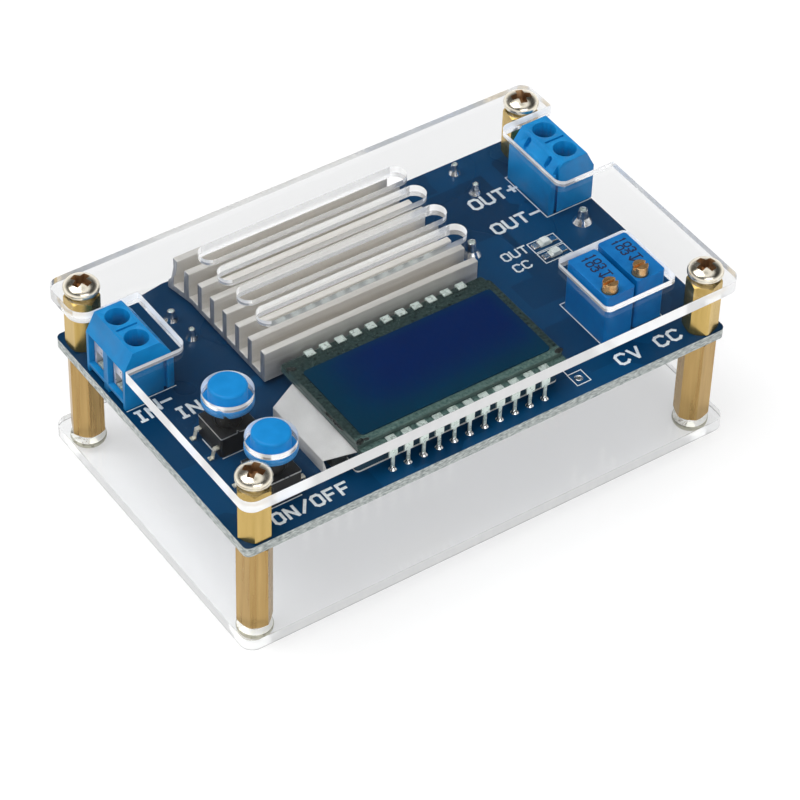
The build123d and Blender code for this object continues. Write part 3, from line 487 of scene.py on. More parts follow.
# the darker brown on the walls of the cross recesses is painted shade
recess_shade = uneven_finish("recess_shade", (138, 104, 72), (180, 146, 108), (0.3, 0.42), 900.0, metallic=0.8)
head_r, dome_r, dome_h, rim_h = 2.62, 2.6, 1.3, 0.4
recess_r, recess_floor, below_dome = 2.0, 0.05, 0.04
low, high = node_box("top_screws")
screw_x, screw_y = (high.x - low.x) / 2 - head_r, (high.y - low.y) / 2 - head_r
corners = [(-screw_x, -screw_y), (screw_x, -screw_y), (screw_x, screw_y), (-screw_x, screw_y)]
head = [(0, -5.0), (1.05, -5.0), (1.2, -4.8), (1.2, 0.0), (2.5, 0.0), (dome_r, 0.1), (head_r, rim_h)]
head += arc_points(0.0, rim_h, dome_r, dome_h, 8, 90, 12)[:-1] + [(0, rim_h + dome_h)]
recess = prism("recess", cross_outline(1.9, 0.7), cross_outline(3.7, 1.25), 0.3, 2.2)
screw = cut_away("case_screw", lathe("case_screw", head), recess)
top_z = node_box("top_plate")[1].z
base_z = node_box("base_plate")[0].z
for name, node, seat, tilt, turns, finishes in (
        ("cover_screws", "top_screws", top_z, 0, (38, 12, 71, 25), [nickel, recess_shade]),
        ("base_screws", "bottom_screws", base_z, 180, (10, 55, 33, 80),
         [nickel_shaded, recess_shade, nickel_seat_glow])):
    screws = set_out(name, screw.copy(), [(x, y, seat) for x, y in corners], nickel, turns, tilt=tilt)
    piece = set_in_place(name, screws, finishes, [node])
    for face in piece.data.polygons:
        x, y, z = face.center / mm
        from_axis = min(math.hypot(x - a, y - b) for a, b in corners)
        rise = seat - z if tilt else z - seat
        dome = rim_h + dome_h * math.sqrt(max(0.0, 1 - (from_axis / dome_r) ** 2))
        recessed = from_axis < recess_r and recess_floor < rise < dome - below_dome
        # the base screws' upward seat faces take the painted light, the recess walls the painted shade
        face.material_index = 2 if tilt and face.normal.z > 0.9 else 1 if recessed else 0


# Hex standoffs. Brass bars turned from 4.5 mm hexagon stock, their corners cut at both ends. The lower four
# are threaded at both ends, and each upper one has a stud that goes through the board into the lower one.

def hex_standoff(name, height, stud):
    """Hexagon bar along Z from 0 to its height, cut by a turned shape that takes off the corners."""
    flats, over, cut, bore, bore_depth = 4.5, 1.0, 0.28, 1.25, 0.6
    corner = flats / math.sqrt(3)
    neck = corner - cut * 1.3
    hexagon = lathe(name, [(0, -over), (corner, -over), (corner, height + over), (0, height + over)], 6)
    for face in hexagon.polygons:
        face.use_smooth = False
    turned = [(0, bore_depth), (bore, bore_depth), (bore, 0), (neck, 0), (corner, cut), (corner, height - cut),
              (neck, height), (bore, height), (bore, height - bore_depth), (0, height - bore_depth)]
    bar = softened(name, cut_away(name, hexagon, lathe(name, turned, 96), "INTERSECT"), 0.05, 1, 30)
    if not stud:
        return bar
    shank = lathe(name, [(0, -5), (1.1, -5), (1.2, -4.8), (1.2, 0.3), (0, 0.3)], 32)
    whole = bmesh.new()
    whole.from_mesh(bar)
    whole.from_mesh(shank)
    return mesh_from(name, whole)


def set_out_piece(name, mesh, sites, material, replaced=(), turns=None, scales=None):
    """Pieces of one finish at their sites, in place as one piece of the module."""
    return set_in_place(name, set_out(name, mesh, sites, material, turns, scales), [material], replaced)


brass_light = uneven_finish("turned_brass_light", (188, 158, 90), (210, 180, 112), (0.18, 0.30), 900.0,
                            metallic=0.92, bump=0.05, stretch=(1, 1, 0.06))
# the lower bars, under the board, take a darker copy of the brass as painted shade
brass_shaded = uneven_finish("turned_brass_shaded", (164, 132, 80), (194, 162, 106), (0.22, 0.36), 900.0,
                           metallic=0.92, bump=0.06, stretch=(1, 1, 0.05))
lower_z, lower_top = [corner.z for corner in node_box("lower_standoffs")]
board_top = node_box("circuit_board")[1].z
upper_top = node_box("upper_standoffs")[1].z
set_out_piece("lower_bars", hex_standoff("lower_bar", lower_top - lower_z, False),
              [(x, y, lower_z) for x, y in corners], brass_shaded, ["lower_standoffs"],
              (43, 11, 30, 8))
set_out_piece("upper_bars", hex_standoff("upper_bar", upper_top - board_top, True),
              [(x, y, board_top) for x, y in corners], brass_light, ["upper_standoffs"],
              (0, 18, 25, 32))


# Circuit board. Glass fibre board with a blue solder mask over faint copper, pale sawn edges where the fibres
# show, and white printed words and outlines.

def facing_along(tree, axis):
    """How squarely a face looks along an axis, from 0 to 1."""
    facing = add_node(tree, "NewGeometry")
    split = add_node(tree, "SeparateXYZ")
    along = add_node(tree, "Math", operation="ABSOLUTE")
    join(tree, (facing, "True Normal", split, 0), (split.outputs[axis], along.inputs[0]))
    return along.outputs[0]


def above(tree, value, limit):
    """Mask of what is more than a limit."""
    mask = add_node(tree, "Math", {1: limit}, operation="GREATER_THAN")
    join(tree, (value, mask.inputs[0]))
    return mask.outputs[0]


def dress(names, material):
    """Gives CAD nodes a finish."""
    for name in names:
        nodes[name].data.materials.clear()
        nodes[name].data.materials.append(material)


mask_blue, tree, shader = new_material("blue_solder_mask")
vary = add_uneven(tree, 45.0, 0.03, 0.00002, 2.0)
weave = add_uneven(tree, 1300.0, 0.4, 0.00004, 2.0, (1, 1, 3))
where = add_node(tree, "TexCoord")
pours = add_node(tree, "TexVoronoi", {"Scale": 90.0, "Randomness": 0.85}, distance="CHEBYCHEV")
pour_hue = add_node(tree, "SeparateXYZ")
relief = add_node(tree, "Bump", {"Strength": 0.25, "Distance": 0.00003})
join(tree, (where, "Object", pours, "Vector"), (pours, "Color", pour_hue, 0))
poured = above(tree, pour_hue.outputs["X"], 0.62)
blue = two_tone(tree, poured, mottled(tree, vary, colour(2, 47, 80), colour(3, 56, 92)), colour(4, 61, 100))
fibre = mottled(tree, weave, colour(120, 132, 132), colour(224, 229, 226))
level = above(tree, facing_along(tree, "Z"), 0.5)
join(tree, (poured, relief.inputs["Height"]), (vary, "Normal", relief, "Normal"))
surface(tree, shader, two_tone(tree, level, fibre, blue), relief,
        spread(tree, vary.outputs["Mask"], 0.26, 0.36))
set_plain(shader, {"Specular IOR Level": 0.3})
dress(["circuit_board"], mask_blue)

ROUND = [(1, 0), (3, 0), (4, 1), (4, 5), (3, 6), (1, 6), (0, 5), (0, 1), (1, 0)]
STROKES = {
    "I": ([(2, 0), (2, 6)], [(0.9, 0), (3.1, 0)], [(0.9, 6), (3.1, 6)]),
    "N": ([(0, 0), (0, 6), (4, 0), (4, 6)],),
    "O": (ROUND,),
    "F": ([(0, 0), (0, 6), (4, 6)], [(0, 3), (3, 3)]),
    "C": ([(4, 1), (3, 0), (1, 0), (0, 1), (0, 5), (1, 6), (3, 6), (4, 5)],),
    "V": ([(0, 6), (2, 0), (4, 6)],),
    "U": ([(0, 6), (0, 1), (1, 0), (3, 0), (4, 1), (4, 6)],),
    "T": ([(0, 6), (4, 6)], [(2, 0), (2, 6)]),
    "+": ([(0, 3), (4, 3)], [(2, 1), (2, 5)]),
    "-": ([(0, 3), (4, 3)],),
    "/": ([(0, 0), (4, 6)],),
    "0": (ROUND,),
    "1": ([(1, 5), (2, 6), (2, 0)],),
    "3": ([(0, 5), (1, 6), (3, 6), (4, 5), (4, 4), (3, 3), (4, 2), (4, 1), (3, 0), (1, 0), (0, 1)],),
    " ": (),
}


def lettering(words, start, height, pitch=5.6, width=1.0, turn=0.0):
    """Strokes of a plain word, in millimetres, from its lower left corner."""
    lines = []
    angle = math.radians(turn)
    for index, letter in enumerate(words):
        for stroke in STROKES[letter]:
            line = []
            for across, up in stroke:
                along = (across + index * pitch) * width * height / 6
                rise = up * height / 6
                line.append((start[0] + along * math.cos(angle) - rise * math.sin(angle),
                             start[1] + along * math.sin(angle) + rise * math.cos(angle)))
            lines.append(line)
    return lines


paint_thickness = 0.02


def painted(name, lines, z, width, material):
    """Thin paint along lines on a level face."""
    curve = bpy.data.curves.new(name, "CURVE")
    curve.dimensions = "3D"
    curve.bevel_depth = width / 2 * mm
    curve.bevel_resolution = 2
    curve.use_fill_caps = True
    for line in lines:
        for start, end in zip(line, line[1:]):
            start, end = Vector(start), Vector(end)
            reach = (end - start).normalized() * width * 0.35
            spline = curve.splines.new("POLY")
            spline.points.add(1)
            for point, place in zip(spline.points, (start - reach, end + reach)):
                point.co = (place.x * mm, place.y * mm, 0, 1)
    mesh = plain_mesh(name, loose_object(name, curve))
    for vertex in mesh.vertices:
        vertex.co.z = z * mm + vertex.co.z * paint_thickness / (width / 2)
    return set_in_place(name, mesh, [material])


def outline(left, front, right, back):
    """Closed line round a rectangle."""
    return [(left, front), (right, front), (right, back), (left, back), (left, front)]


print_white = uneven_finish("white_print", (214, 220, 222), (236, 240, 240), (0.5, 0.65), 2500.0)
# word, lower left corner, height, pitch of the letters and their width
words = [("ON/OFF", (-34.1, -22.8), 1.95, 6.2, 1.04), ("CV CC", (23.2, -22.75), 2.0, 6.0, 1.14),
         ("IN-", (-39.3, 3.85), 2.0, 5.5, 1.1), ("IN+", (-34.6, 0.6), 2.0, 5.5, 1.1),
         ("OUT+", (24.35, 14.6), 2.0, 5.8, 1.13), ("OUT-", (24.0, 8.45), 2.0, 5.8, 1.13)]
lines = [line for word in words for line in lettering(*word)]
painted("printed_words", lines, board_top, 0.47, print_white)
small = lettering("OUT", (21.5, 2.9), 1.5, width=1.1) + lettering("CC", (21.6, 0.1), 1.5, width=1.1)
painted("printed_small_words", small, board_top, 0.3, print_white)
lamps_low, lamps_high = node_box("indicator_leds")
out_low, out_high = node_box("terminal_housing_out")
in_low, in_high = node_box("terminal_housing_in")
base_low, base_high = node_box("switch_bases")
trim_low, trim_high = node_box("trimmer_bodies")
glass_high = node_box("rear_glass")[1]
clip_edge = node_box("display_pins_front")[0].y
lamp_middle = (lamps_low.y + lamps_high.y) / 2
lamp_left, lamp_right = lamps_low.x - 1.3, lamps_high.x + 1.35
corner_line, corner_side = glass_high.y - 5.6, glass_high.x + 1.6
box_left, box_right, box_back = 15.45, 17.75, clip_edge + 2.1
lines = [outline(lamp_left, lamp_middle + 0.13, lamp_right, lamps_high.y + 0.5),
         outline(lamp_left, lamps_low.y - 0.5, lamp_right, lamp_middle - 0.13),
         [(glass_high.x + 0.9, corner_line), (corner_side, corner_line), (corner_side, box_back)],
         outline(box_left, clip_edge - 0.35, box_right, box_back),
         outline(out_low.x - 0.25, out_low.y - 0.2, out_high.x - 0.35, out_high.y + 0.2),
         [(in_low.x + 0.1, in_low.y - 0.2), (in_high.x + 0.1, in_low.y - 0.2)],
         outline(trim_low.x - 0.1, trim_low.y - 0.15, trim_high.x + 0.1, trim_high.y + 0.15)]
switch_side, switch_gap = 6.0, 0.15
left, right = base_low.x - switch_gap, base_high.x + switch_gap
for front in (base_low.y, base_high.y - switch_side):
    lines += [[(x, front + 1.4), (x, front + 4.6)] for x in (left, right)]
    ends = (front - switch_gap, front + switch_side + switch_gap)
    lines += [[(left + 0.3, y), (right - 0.3, y)] for y in ends]
painted("printed_outlines", lines, board_top, 0.16, print_white)


# Heatsink. An extruded aluminium comb with upright fins along X, bedded on a soft grey thermal pad that shows
# as a thin line under its edge. Its surface keeps the fine lines that the die draws along the fins.

def finish_node(name, node, material, width, segments=1, body="module", lift=None, angle=40):
    """A CAD node's shape with rounded edges and its finish. Lift moves its points, given each one's height."""
    mesh = softened(name, nodes[node].data, width, segments, angle)
    if lift:
        for vertex in mesh.vertices:
            vertex.co.z = lift(vertex.co.z / mm) * mm
    return set_in_place(name, mesh, [material], [node], body)


aluminium, tree, shader = new_material("extruded_aluminium")
drawn = add_uneven(tree, 1100.0, 0.22, 0.00003, stretch=(0.03, 1, 1))
sawn = add_uneven(tree, 1800.0, 0.35, 0.00003, stretch=(1, 1, 0.2))
side = mottled(tree, drawn, colour(216, 212, 205), colour(234, 231, 226))
end = mottled(tree, sawn, colour(132, 136, 144), colour(180, 184, 190))
at_end = above(tree, facing_along(tree, "X"), 0.7)
surface(tree, shader, two_tone(tree, at_end, side, end), drawn,
        spread(tree, drawn.outputs["Mask"], 0.34, 0.48))
set_plain(shader, {"Metallic": 0.45})
finish_node("heatsink_comb", "heatsink", aluminium, 0.10, 2)
dress(["thermal_pad"], uneven_finish("thermal_pad_grey", (150, 154, 158), (176, 180, 184), (0.7, 0.85), 800.0))


# Display. Two glass sheets with liquid crystal between them and dark polarising films, over a lit guide whose
# lamp sits under a white film at the left. Tinned clips along both long edges grip the rear glass.

def own_place(tree):
    """Place of a point in its piece, split into X, Y and Z."""
    where = add_node(tree, "TexCoord")
    split = add_node(tree, "SeparateXYZ")
    join(tree, (where, "Object", split, 0))
    return split.outputs


film_low, film_high = node_box("front_polariser")
film_blue, tree, shader = new_material("dark_blue_film")
vary = add_uneven(tree, 90.0, 0.03, 0.00001)
place = own_place(tree)
# how far the greener tone reaches in from each edge of the film, and the share of deep blue at that edge
fades = []
for axis, start, reach, least in (("X", film_low.x, 11.0, 0.0), ("Y", film_low.y, 8.0, 0.0),
                                  ("X", film_high.x, -2.2, 0.45), ("Y", film_high.y, -1.6, 0.45)):
    span = {"From Min": start * mm, "From Max": (start + reach) * mm, "To Min": least}
    fade = add_node(tree, "MapRange", span, interpolation_type="SMOOTHSTEP")
    join(tree, (place[axis], fade.inputs["Value"]))
    fades.append(fade.outputs["Result"])
while len(fades) > 1:
    both = add_node(tree, "Math", operation="MULTIPLY")
    join(tree, (fades.pop(), both.inputs[0]), (fades.pop(), both.inputs[1]))
    fades.append(both.outputs[0])
ramp = add_node(tree, "ValToRGB")
ramp.color_ramp.elements[0].color = colour(3, 48, 70)
ramp.color_ramp.elements[1].color = colour(4, 32, 80)
ramp.color_ramp.elements.new(0.4).color = colour(3, 40, 77)
join(tree, (fades[0], ramp.inputs["Fac"]))
surface(tree, shader, ramp.outputs["Color"], vary)
set_plain(shader, {"Roughness": 0.10, "Specular IOR Level": 0.25})
dress(["front_polariser"], film_blue)
film_dark = uneven_finish("dark_film", (16, 26, 34), (24, 38, 44), (0.3, 0.4), 500.0)
dress(["rear_polariser"], film_dark)

display_glass, tree, shader = new_material("display_glass")
vary = add_uneven(tree, 350.0, 0.05, 0.00001)
speck = add_uneven(tree, 2200.0, 0.1, 0.00001, 6.0)
depth = add_node(tree, "MapRange", {"From Min": (film_low.y - 0.2) * mm, "From Max": (film_low.y + 0.4) * mm})
join(tree, (own_place(tree)["Y"], depth.inputs["Value"]))
dark_rim = mottled(tree, speck, colour(22, 36, 38), colour(60, 76, 72))
pale_rim = mottled(tree, speck, colour(58, 82, 80), colour(98, 122, 114))
side = two_tone(tree, vary.outputs["Mask"], colour(44, 62, 60), colour(84, 104, 98))
rim = two_tone(tree, depth.outputs["Result"], pale_rim, dark_rim)
surface(tree, shader, two_tone(tree, facing_along(tree, "Z"), side, rim), vary)
set_plain(shader, {"Roughness": 0.08})
for node in ("rear_glass", "front_glass"):
    finish_node(node + "_pane", node, display_glass, 0.08)

sealant = uneven_finish("dark_sealant", (20, 26, 26), (48, 52, 50), (0.2, 0.4), 1800.0, bump=0.6, depth=0.0001,
                        specular=0.3)
low, high = node_box("front_glass")
drop = lathe("sealant_drop", [(0, -0.25), (0.5, -0.2), (0.62, 0), (0.45, 0.16), (0, 0.24)], 20)
drops = [((low.x + 0.5, low.y + 0.45, high.z), 30, (1.25, 0.75, 0.6)),
         ((low.x + 1.5, low.y + 0.4, high.z), -20, (0.7, 0.5, 0.5)),
         ((high.x - 0.5, low.y + 0.5, high.z), 15, (1.2, 0.8, 0.6)),
         ((low.x + 0.45, high.y - 0.5, high.z), 60, (0.7, 1.2, 0.4)),
         ((low.x + 0.02, low.y + 4.6, high.z - 0.35), 5, (0.5, 1.5, 1.0)),
         ((low.x + 0.02, low.y + 5.7, high.z - 0.35), -8, (0.6, 1.1, 1.3)),
         ((low.x + 0.02, low.y + 7.2, high.z - 0.35), 3, (0.45, 1.6, 0.9))]
set_out_piece("sealant_drops", drop, [place for place, turn, size in drops], sealant,
              turns=[turn for place, turn, size in drops], scales=[size for place, turn, size in drops])

# The guide is clear acrylic; it is drawn opaque dark blue, painted shade for the shadow under the glass.
guide_shaded, tree, shader = new_material("clear_guide")
vary = add_uneven(tree, 300.0, 0.1, 0.00002)
surface(tree, shader, two_tone(tree, vary.outputs["Mask"], colour(40, 62, 78), colour(60, 84, 98)), vary)
set_plain(shader, {"Roughness": 0.22, "IOR": 1.49})
finish_node("light_guide_block", "light_guide", guide_shaded, 0.08)
film_white = uneven_finish("white_film", (208, 207, 205), (228, 227, 225), (0.35, 0.5), 260.0, bump=0.12,
                           depth=0.00006)
dress(["reflector_sheet"], film_white)
low, high = node_box("lamp_cover")
film_t, end_h, taper = 0.16, 2.3, 1.75
crease = [low.y + taper, high.y - taper]
folds = [(low.x, crease[0], low.z), (low.x, crease[1], low.z), (low.x, crease[0], low.z + end_h),
         (low.x, crease[1], low.z + end_h), (high.x, low.y, high.z), (high.x, high.y, high.z),
         (high.x, high.y, low.z), (low.x + 0.7, crease[0] - 0.1, low.z)]
shape = bmesh.new()
points = [shape.verts.new(Vector(fold) * mm) for fold in folds]
for face in ((0, 2, 3, 1), (2, 4, 5, 3), (3, 5, 6, 1), (0, 7, 2)):
    shape.faces.new([points[index] for index in face])
bmesh.ops.recalc_face_normals(shape, faces=shape.faces)
draft = loose_object("lamp_cover_film", mesh_from("lamp_cover_film", shape))
wall = draft.modifiers.new("thickness", "SOLIDIFY")
wall.thickness = film_t * mm
wall.offset = -1.0
creases = draft.modifiers.new("creases", "BEVEL")
creases.width = 0.06 * mm
creases.segments = 2
film = plain_mesh("lamp_cover_film", draft)
for face in film.polygons:
    face.use_smooth = True
film.set_sharp_from_angle(angle=math.radians(30))
set_in_place("lamp_cover_film", film, [film_white], ["lamp_cover"])


def block(name, low, high):
    """Block between two corners, in millimetres."""
    plan = outline(low[0], low[1], high[0], high[1])[:4]
    return prism(name, plan, plan, low[2], high[2])


strip_dark = uneven_finish("lamp_strip_dark", (26, 30, 32), (52, 56, 56), (0.35, 0.5), 1500.0)
strip = block("lamp_strip", (low.x + 1.6, low.y + 2.1, low.z), (high.x - 0.1, high.y - 2.1, low.z + 2.0))
set_in_place("lamp_strip", softened("lamp_strip", strip, 0.12), [strip_dark])

tin = uneven_finish("tinned_metal", (206, 222, 212), (234, 244, 238), (0.22, 0.36), 1400.0, metallic=0.45,
                    bump=0.15)
for node in ("display_pins_front", "display_pins_back"):
    finish_node(node + "_clips", node, tin, 0.04)
foot_solder = uneven_finish("foot_solder", (214, 216, 216), (244, 245, 245), (0.08, 0.2), 2500.0, metallic=1.0,
                            bump=0.5, depth=0.0001)
pins_low, pins_high = node_box("display_pins_front")
pins_back = node_box("display_pins_back")[1].y
clip_pitch, clip_inset, foot_inset = 2.54, 0.7, 0.15
clip_count = round((pins_high.x - pins_low.x - 2 * clip_inset) / clip_pitch) + 1
clip_xs = [pins_low.x + clip_inset + index * clip_pitch for index in range(clip_count)]
feet = [(x, y, board_top) for y in (pins_low.y + foot_inset, pins_back - foot_inset) for x in clip_xs]
ring = lathe("pad_ring", [(0, 0), (0.62, 0), (0.6, 0.06), (0.38, 0.2), (0.26, 0.5), (0, 0.5)], 24)
set_out_piece("board_pads", ring, feet, foot_solder)
plated = lathe("plated_hole", [(0.33, 0), (0.64, 0), (0.62, 0.07), (0.5, 0.11), (0.36, 0.08), (0.33, 0)], 32)
hole_x, hole_y = clip_xs[-1] + 6.4, pins_low.y + 0.85
plated.transform(Matrix.Translation(Vector((hole_x, hole_y, board_top)) * mm))
set_in_place("plated_hole", plated, [foot_solder])


# Push buttons. Two square surface-mount switches with black bases and thin black covers, a round plunger and
# four tinned gull-wing legs each. Moulded blue caps sit on the plungers and come up through the cover.

black_plastic = uneven_finish("black_moulding", (30, 30, 30), (46, 45, 43), (0.4, 0.55), 900.0, bump=0.2)
steel_rim = uneven_finish("steel_rim", (190, 190, 186), (226, 224, 218), (0.25, 0.4), 900.0, metallic=0.8)
plates = softened("switch_cover_plates", nodes["switch_covers"].data, 0.05, 1)
piece = set_in_place("switch_cover_plates", plates, [black_plastic, steel_rim],
                     ["switch_covers"])
for face in piece.data.polygons:
    face.material_index = 0 if abs(face.normal.z) > 0.9 else 1
finish_node("switch_bases_part", "switch_bases", black_plastic, 0.08)
for side in ("back", "front"):
    finish_node("plunger_" + side + "_part", "plunger_" + side, black_plastic, 0.08,
                body="button_" + side)
leg_tin = uneven_finish("leg_tin", (226, 220, 196), (244, 241, 228), (0.2, 0.35), 1200.0, metallic=0.6)
finish_node("switch_leg_metal", "switch_legs", leg_tin, 0.06, 2)

cap_blue = uneven_finish("cap_blue", (2, 128, 198), (4, 136, 208), (0.34, 0.44), 600.0, bump=0.06,
                         specular=0.25)
flange_h, cap_r, cap_round, socket_r, socket_roof = 1.1, 2.75, 0.4, 1.8, 1.0
for side in ("back", "front"):
    low, high = node_box("button_cap_" + side)
    flange_r = (high.x - low.x) / 2
    foot, shoulder = low.z, low.z + flange_h
    profile = [(socket_r, foot + 0.1), (socket_r, foot), (flange_r - 0.15, foot), (flange_r, foot + 0.15),
               (flange_r, shoulder - 0.15), (flange_r - 0.15, shoulder), (cap_r, shoulder)]
    profile += arc_points(cap_r - cap_round, high.z - cap_round, cap_round, cap_round, 0, 90, 6)
    profile += [(0, high.z), (0, high.z - socket_roof), (socket_r, high.z - socket_roof), profile[0]]
    cap = lathe("cap_" + side, profile, 72)
    cap.transform(Matrix.Translation(Vector((low.x + high.x, low.y + high.y, 0)) / 2 * mm))
    cap.set_sharp_from_angle(angle=math.radians(50))
    set_in_place("cap_" + side, cap, [cap_blue], ["button_cap_" + side], "button_" + side)


# Screw terminals. Two blue moulded blocks for two wires each. In each pole a plated clamp frame with a
# threaded roof takes the wire, and a slotted screw presses a thin leaf on it.

terminal_blue = uneven_finish("terminal_blue", (10, 124, 190), (14, 138, 204), (0.38, 0.5), 500.0, bump=0.12,
                              specular=0.25)
clamp_silver = uneven_finish("clamp_silver", (206, 204, 210), (228, 226, 232), (0.25, 0.38), 900.0,
                             metallic=0.5, bump=0.08)
pole_half_pitch = 2.54
pocket_depth, pocket_half_w, pocket_top = 2.2, 1.95, 0.95
groove_from, groove_w, groove_top = 6.2, 0.6, 6.2
dimple_from, dimple_drop, face_slope = 6.5, 1.2, 34.5
for side, inward in (("in", 1), ("out", -1)):
    name = "housing_" + side
    housing = softened(name, nodes["terminal_housing_" + side].data, 0.12)
    low, high = node_box("terminal_housing_" + side)
    front = low.x if side == "in" else high.x
    poles = [(low.y + high.y) / 2 + pole * pole_half_pitch for pole in (-1, 1)]
    for pole_y in poles:
        left, right = sorted((front - inward * 0.2, front + inward * pocket_depth))
        pocket = block("pocket", (left, pole_y - pocket_half_w, low.z - 0.2),
                       (right, pole_y + pocket_half_w, low.z + pocket_top))
        housing = cut_away(name, housing, pocket)
    if side == "in":
        groove = block("groove", (low.x + groove_from, low.y - 0.3, low.z - 0.2),
                       (low.x + groove_from + groove_w, low.y + 0.5, low.z + groove_top))
        housing = cut_away(name, housing, groove)
    for pole_y in poles:
        spot = Vector((front + inward * dimple_from, pole_y, high.z - dimple_drop)) * mm
        bowl = lathe("bowl", [(0, -1.0), (0.36, -0.6), (0.42, 0), (0.36, 0.6), (0, 1.0)], 24)
        bowl.transform(Matrix.Translation(spot) @ Matrix.Rotation(math.radians(-face_slope * inward), 4, "Y")
                       @ Matrix.Diagonal((2.2, 1, 1, 1)))
        housing = cut_away(name, housing, bowl)
    set_in_place(name, housing, [terminal_blue], ["terminal_housing_" + side])
    finish_node("frames_" + side, "clamp_frames_" + side, clamp_silver, 0.08)
    for key in (side + "_1", side + "_2"):
        finish_node("leaf_" + key, "wire_leaf_" + key, tin, 0.05, body="leaf_" + key)
        finish_node("clamp_" + key, "clamp_screw_" + key, nickel, 0.08, body="screw_" + key)


# Trimmers. Two blue moulded trimmers with a plain value code and an arrow printed on top, a slotted brass
# screw at one corner and three pins that go through the board.

trimmer_blue = uneven_finish("trimmer_blue", (2, 100, 168), (4, 114, 184), (0.34, 0.46), 500.0, bump=0.1,
                             specular=0.25)
finish_node("trimmer_cases", "trimmer_bodies", trimmer_blue, 0.12, 2)
brass_screw = uneven_finish("brass_screw", (206, 156, 98), (234, 192, 138), (0.24, 0.36), 1200.0, metallic=0.85)
code_ink = uneven_finish("code_ink", (8, 26, 66), (12, 34, 78), (0.5, 0.6), 2000.0)
dress(["trimmer_pins"], tin)
for side in ("cv", "cc"):
    low, high = node_box("trimmer_screw_" + side)
    x, y = (low.x + high.x) / 2, (low.y + high.y) / 2
    finish_node("adjuster_" + side, "trimmer_screw_" + side, brass_screw, 0.08,
                body="adjuster_" + side)
    ink = [[(x + 0.35, y + 2.9), (x + 2.3, y + 2.9)], [(x + 2.3, y + 2.4), (x + 2.3, y + 3.4)],
           [(x + 0.9, y + 3.4), (x + 0.35, y + 2.9), (x + 0.9, y + 2.4)]]
    for across in (1.55, 0.25):
        ink += lettering("103", (x + across, y + 7.25), 1.0, 5.8, 1.2, turn=-90)
    painted("value_code_" + side, ink, trim_high.z, 0.26, code_ink)


# Indicator lamps and solder. Two tiny surface-mount lamps beside their words, and bright cones of solder
# round the leads of the parts that hang under the board.

lamp_white = uneven_finish("lamp_lens", (214, 222, 216), (236, 240, 236), (0.2, 0.35), 800.0, coat=0.5)
finish_node("lamp_bodies", "indicator_leds", lamp_white, 0.08, 2)
lamp_half_w, pad_out = 0.625, 0.45
pads = [(x, y, board_top) for y in (lamps_low.y + lamp_half_w, lamps_high.y - lamp_half_w)
        for x in (lamps_low.x - pad_out, lamps_high.x + pad_out)]
cone_rise, cone_from = 1.35, 0.1
lead_trim, lead_from = 0.6, 0.5
solder = uneven_finish("bright_solder", (216, 218, 220), (246, 247, 248), (0.1, 0.28), 1500.0, metallic=1.0,
                       bump=0.2)


def taller_cone(z):
    """Height in a solder cone, drawn up from the board."""
    return board_top + (z - board_top) * cone_rise if z > board_top + cone_from else z


def shorter_lead(z):
    """Height on a lead, whose tip is trimmed."""
    return z - lead_trim if z > board_top + lead_from else z


finish_node("solder_cones", "solder_joints", solder, 0.1, 2, lift=taller_cone, angle=25)
for node in ("capacitor_leads", "inductor_leads"):
    finish_node(node + "_wire", node, tin, 0.06, lift=shorter_lead)
pad = softened("lamp_pad", block("lamp_pad", (-0.65, -0.55, 0), (0.65, 0.55, 0.3)), 0.22)
set_out_piece("lamp_pads", pad, pads, foot_solder)
pin_z = node_box("circuit_board")[0].z
tails = [(x, y, pin_z) for x, y, z in feet]
pin_row = 3.6
for x, low, high in ((in_low.x + pin_row, in_low, in_high), (out_high.x - pin_row, out_low, out_high)):
    tails += [(x, (low.y + high.y) / 2 + pole * pole_half_pitch, pin_z) for pole in (-1, 1)]
low, high = node_box("trimmer_pins")
pin_middle, pin_half_t, row_shift = (low.y + high.y) / 2, 0.25, 0.3
for x, middle in ((low.x + pin_half_t, pin_middle - row_shift), (high.x - pin_half_t, pin_middle + row_shift)):
    tails += [(x, middle + row * pole_half_pitch, pin_z) for row in (-1, 0, 1)]
bead = lathe("solder_bead", [(0, 0), (0.95, 0), (0.8, -0.3), (0.5, -0.75), (0.42, -1.3), (0, -1.4)], 20)
set_out_piece("lower_solder", bead, tails, solder)


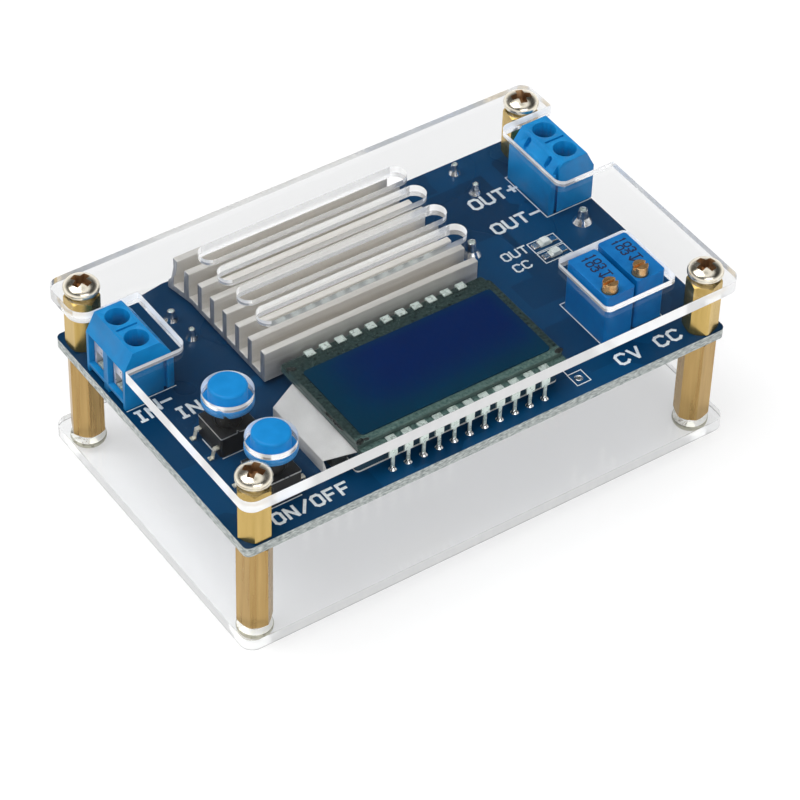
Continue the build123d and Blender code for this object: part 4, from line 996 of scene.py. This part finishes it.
# Parts under the board. Two capacitors, a wound ring inductor, two power chips and a control chip hang from
# the board's lower side, between it and the base plate.

sleeve = uneven_finish("black_sleeve", (26, 26, 30), (40, 40, 44), (0.3, 0.42), 500.0)
can_end = uneven_finish("can_end", (176, 178, 180), (206, 208, 210), (0.3, 0.42), 900.0, metallic=0.8)
cans = softened("capacitor_can_shells", nodes["capacitor_cans"].data, 0.15)
piece = set_in_place("capacitor_can_shells", cans, [sleeve, can_end], ["capacitor_cans"])
for face in piece.data.polygons:
    face.material_index = 1 if face.normal.z < -0.9 else 0
dress(["capacitor_bungs"], black_plastic)
core_yellow = uneven_finish("painted_core", (150, 140, 60), (176, 164, 80), (0.5, 0.62), 600.0)
dress(["inductor_core"], core_yellow)
copper = uneven_finish("enamelled_copper", (178, 92, 48), (206, 122, 70), (0.2, 0.32), 900.0, metallic=0.9)
low, high = node_box("inductor_core")
wire_r, turn_count, first_turn, wound = 0.49, 20, 100.9, 320
inner, outer, rise, bend = 3.5, 7.95, (high.z - low.z) / 2 + 0.5, 0.9
loop = bpy.data.curves.new("wire_turn", "CURVE")
loop.dimensions = "3D"
loop.bevel_depth = wire_r * mm
loop.bevel_resolution = 2
spline = loop.splines.new("POLY")
route = []
for x, z, first in ((outer - bend, rise - bend, 0), (inner + bend, rise - bend, 90),
                    (inner + bend, bend - rise, 180), (outer - bend, bend - rise, 270)):
    route += arc_points(x, z, bend, bend, first, first + 90, 4)
spline.points.add(len(route) - 1)
for index, (point, (x, z)) in enumerate(zip(spline.points, route)):
    lean = 0.5 * (index / len(route) - 0.5)
    point.co = (x * mm, lean * mm, z * mm, 1)
spline.use_cyclic_u = True
wire = plain_mesh("wire_turn", loose_object("wire_turn", loop))
turns = [first_turn + wound * (index + 0.5) / turn_count for index in range(turn_count)]
set_out_piece("coil_turns", wire, [(low + high) / 2] * turn_count, copper,
              ["inductor_winding"], turns)
finish_node("power_chip_bodies", "power_chips", black_plastic, 0.08, 2)
finish_node("control_chip_body", "control_chip", black_plastic, 0.08, 2)
dress(["power_chip_metal", "control_chip_legs"], tin)
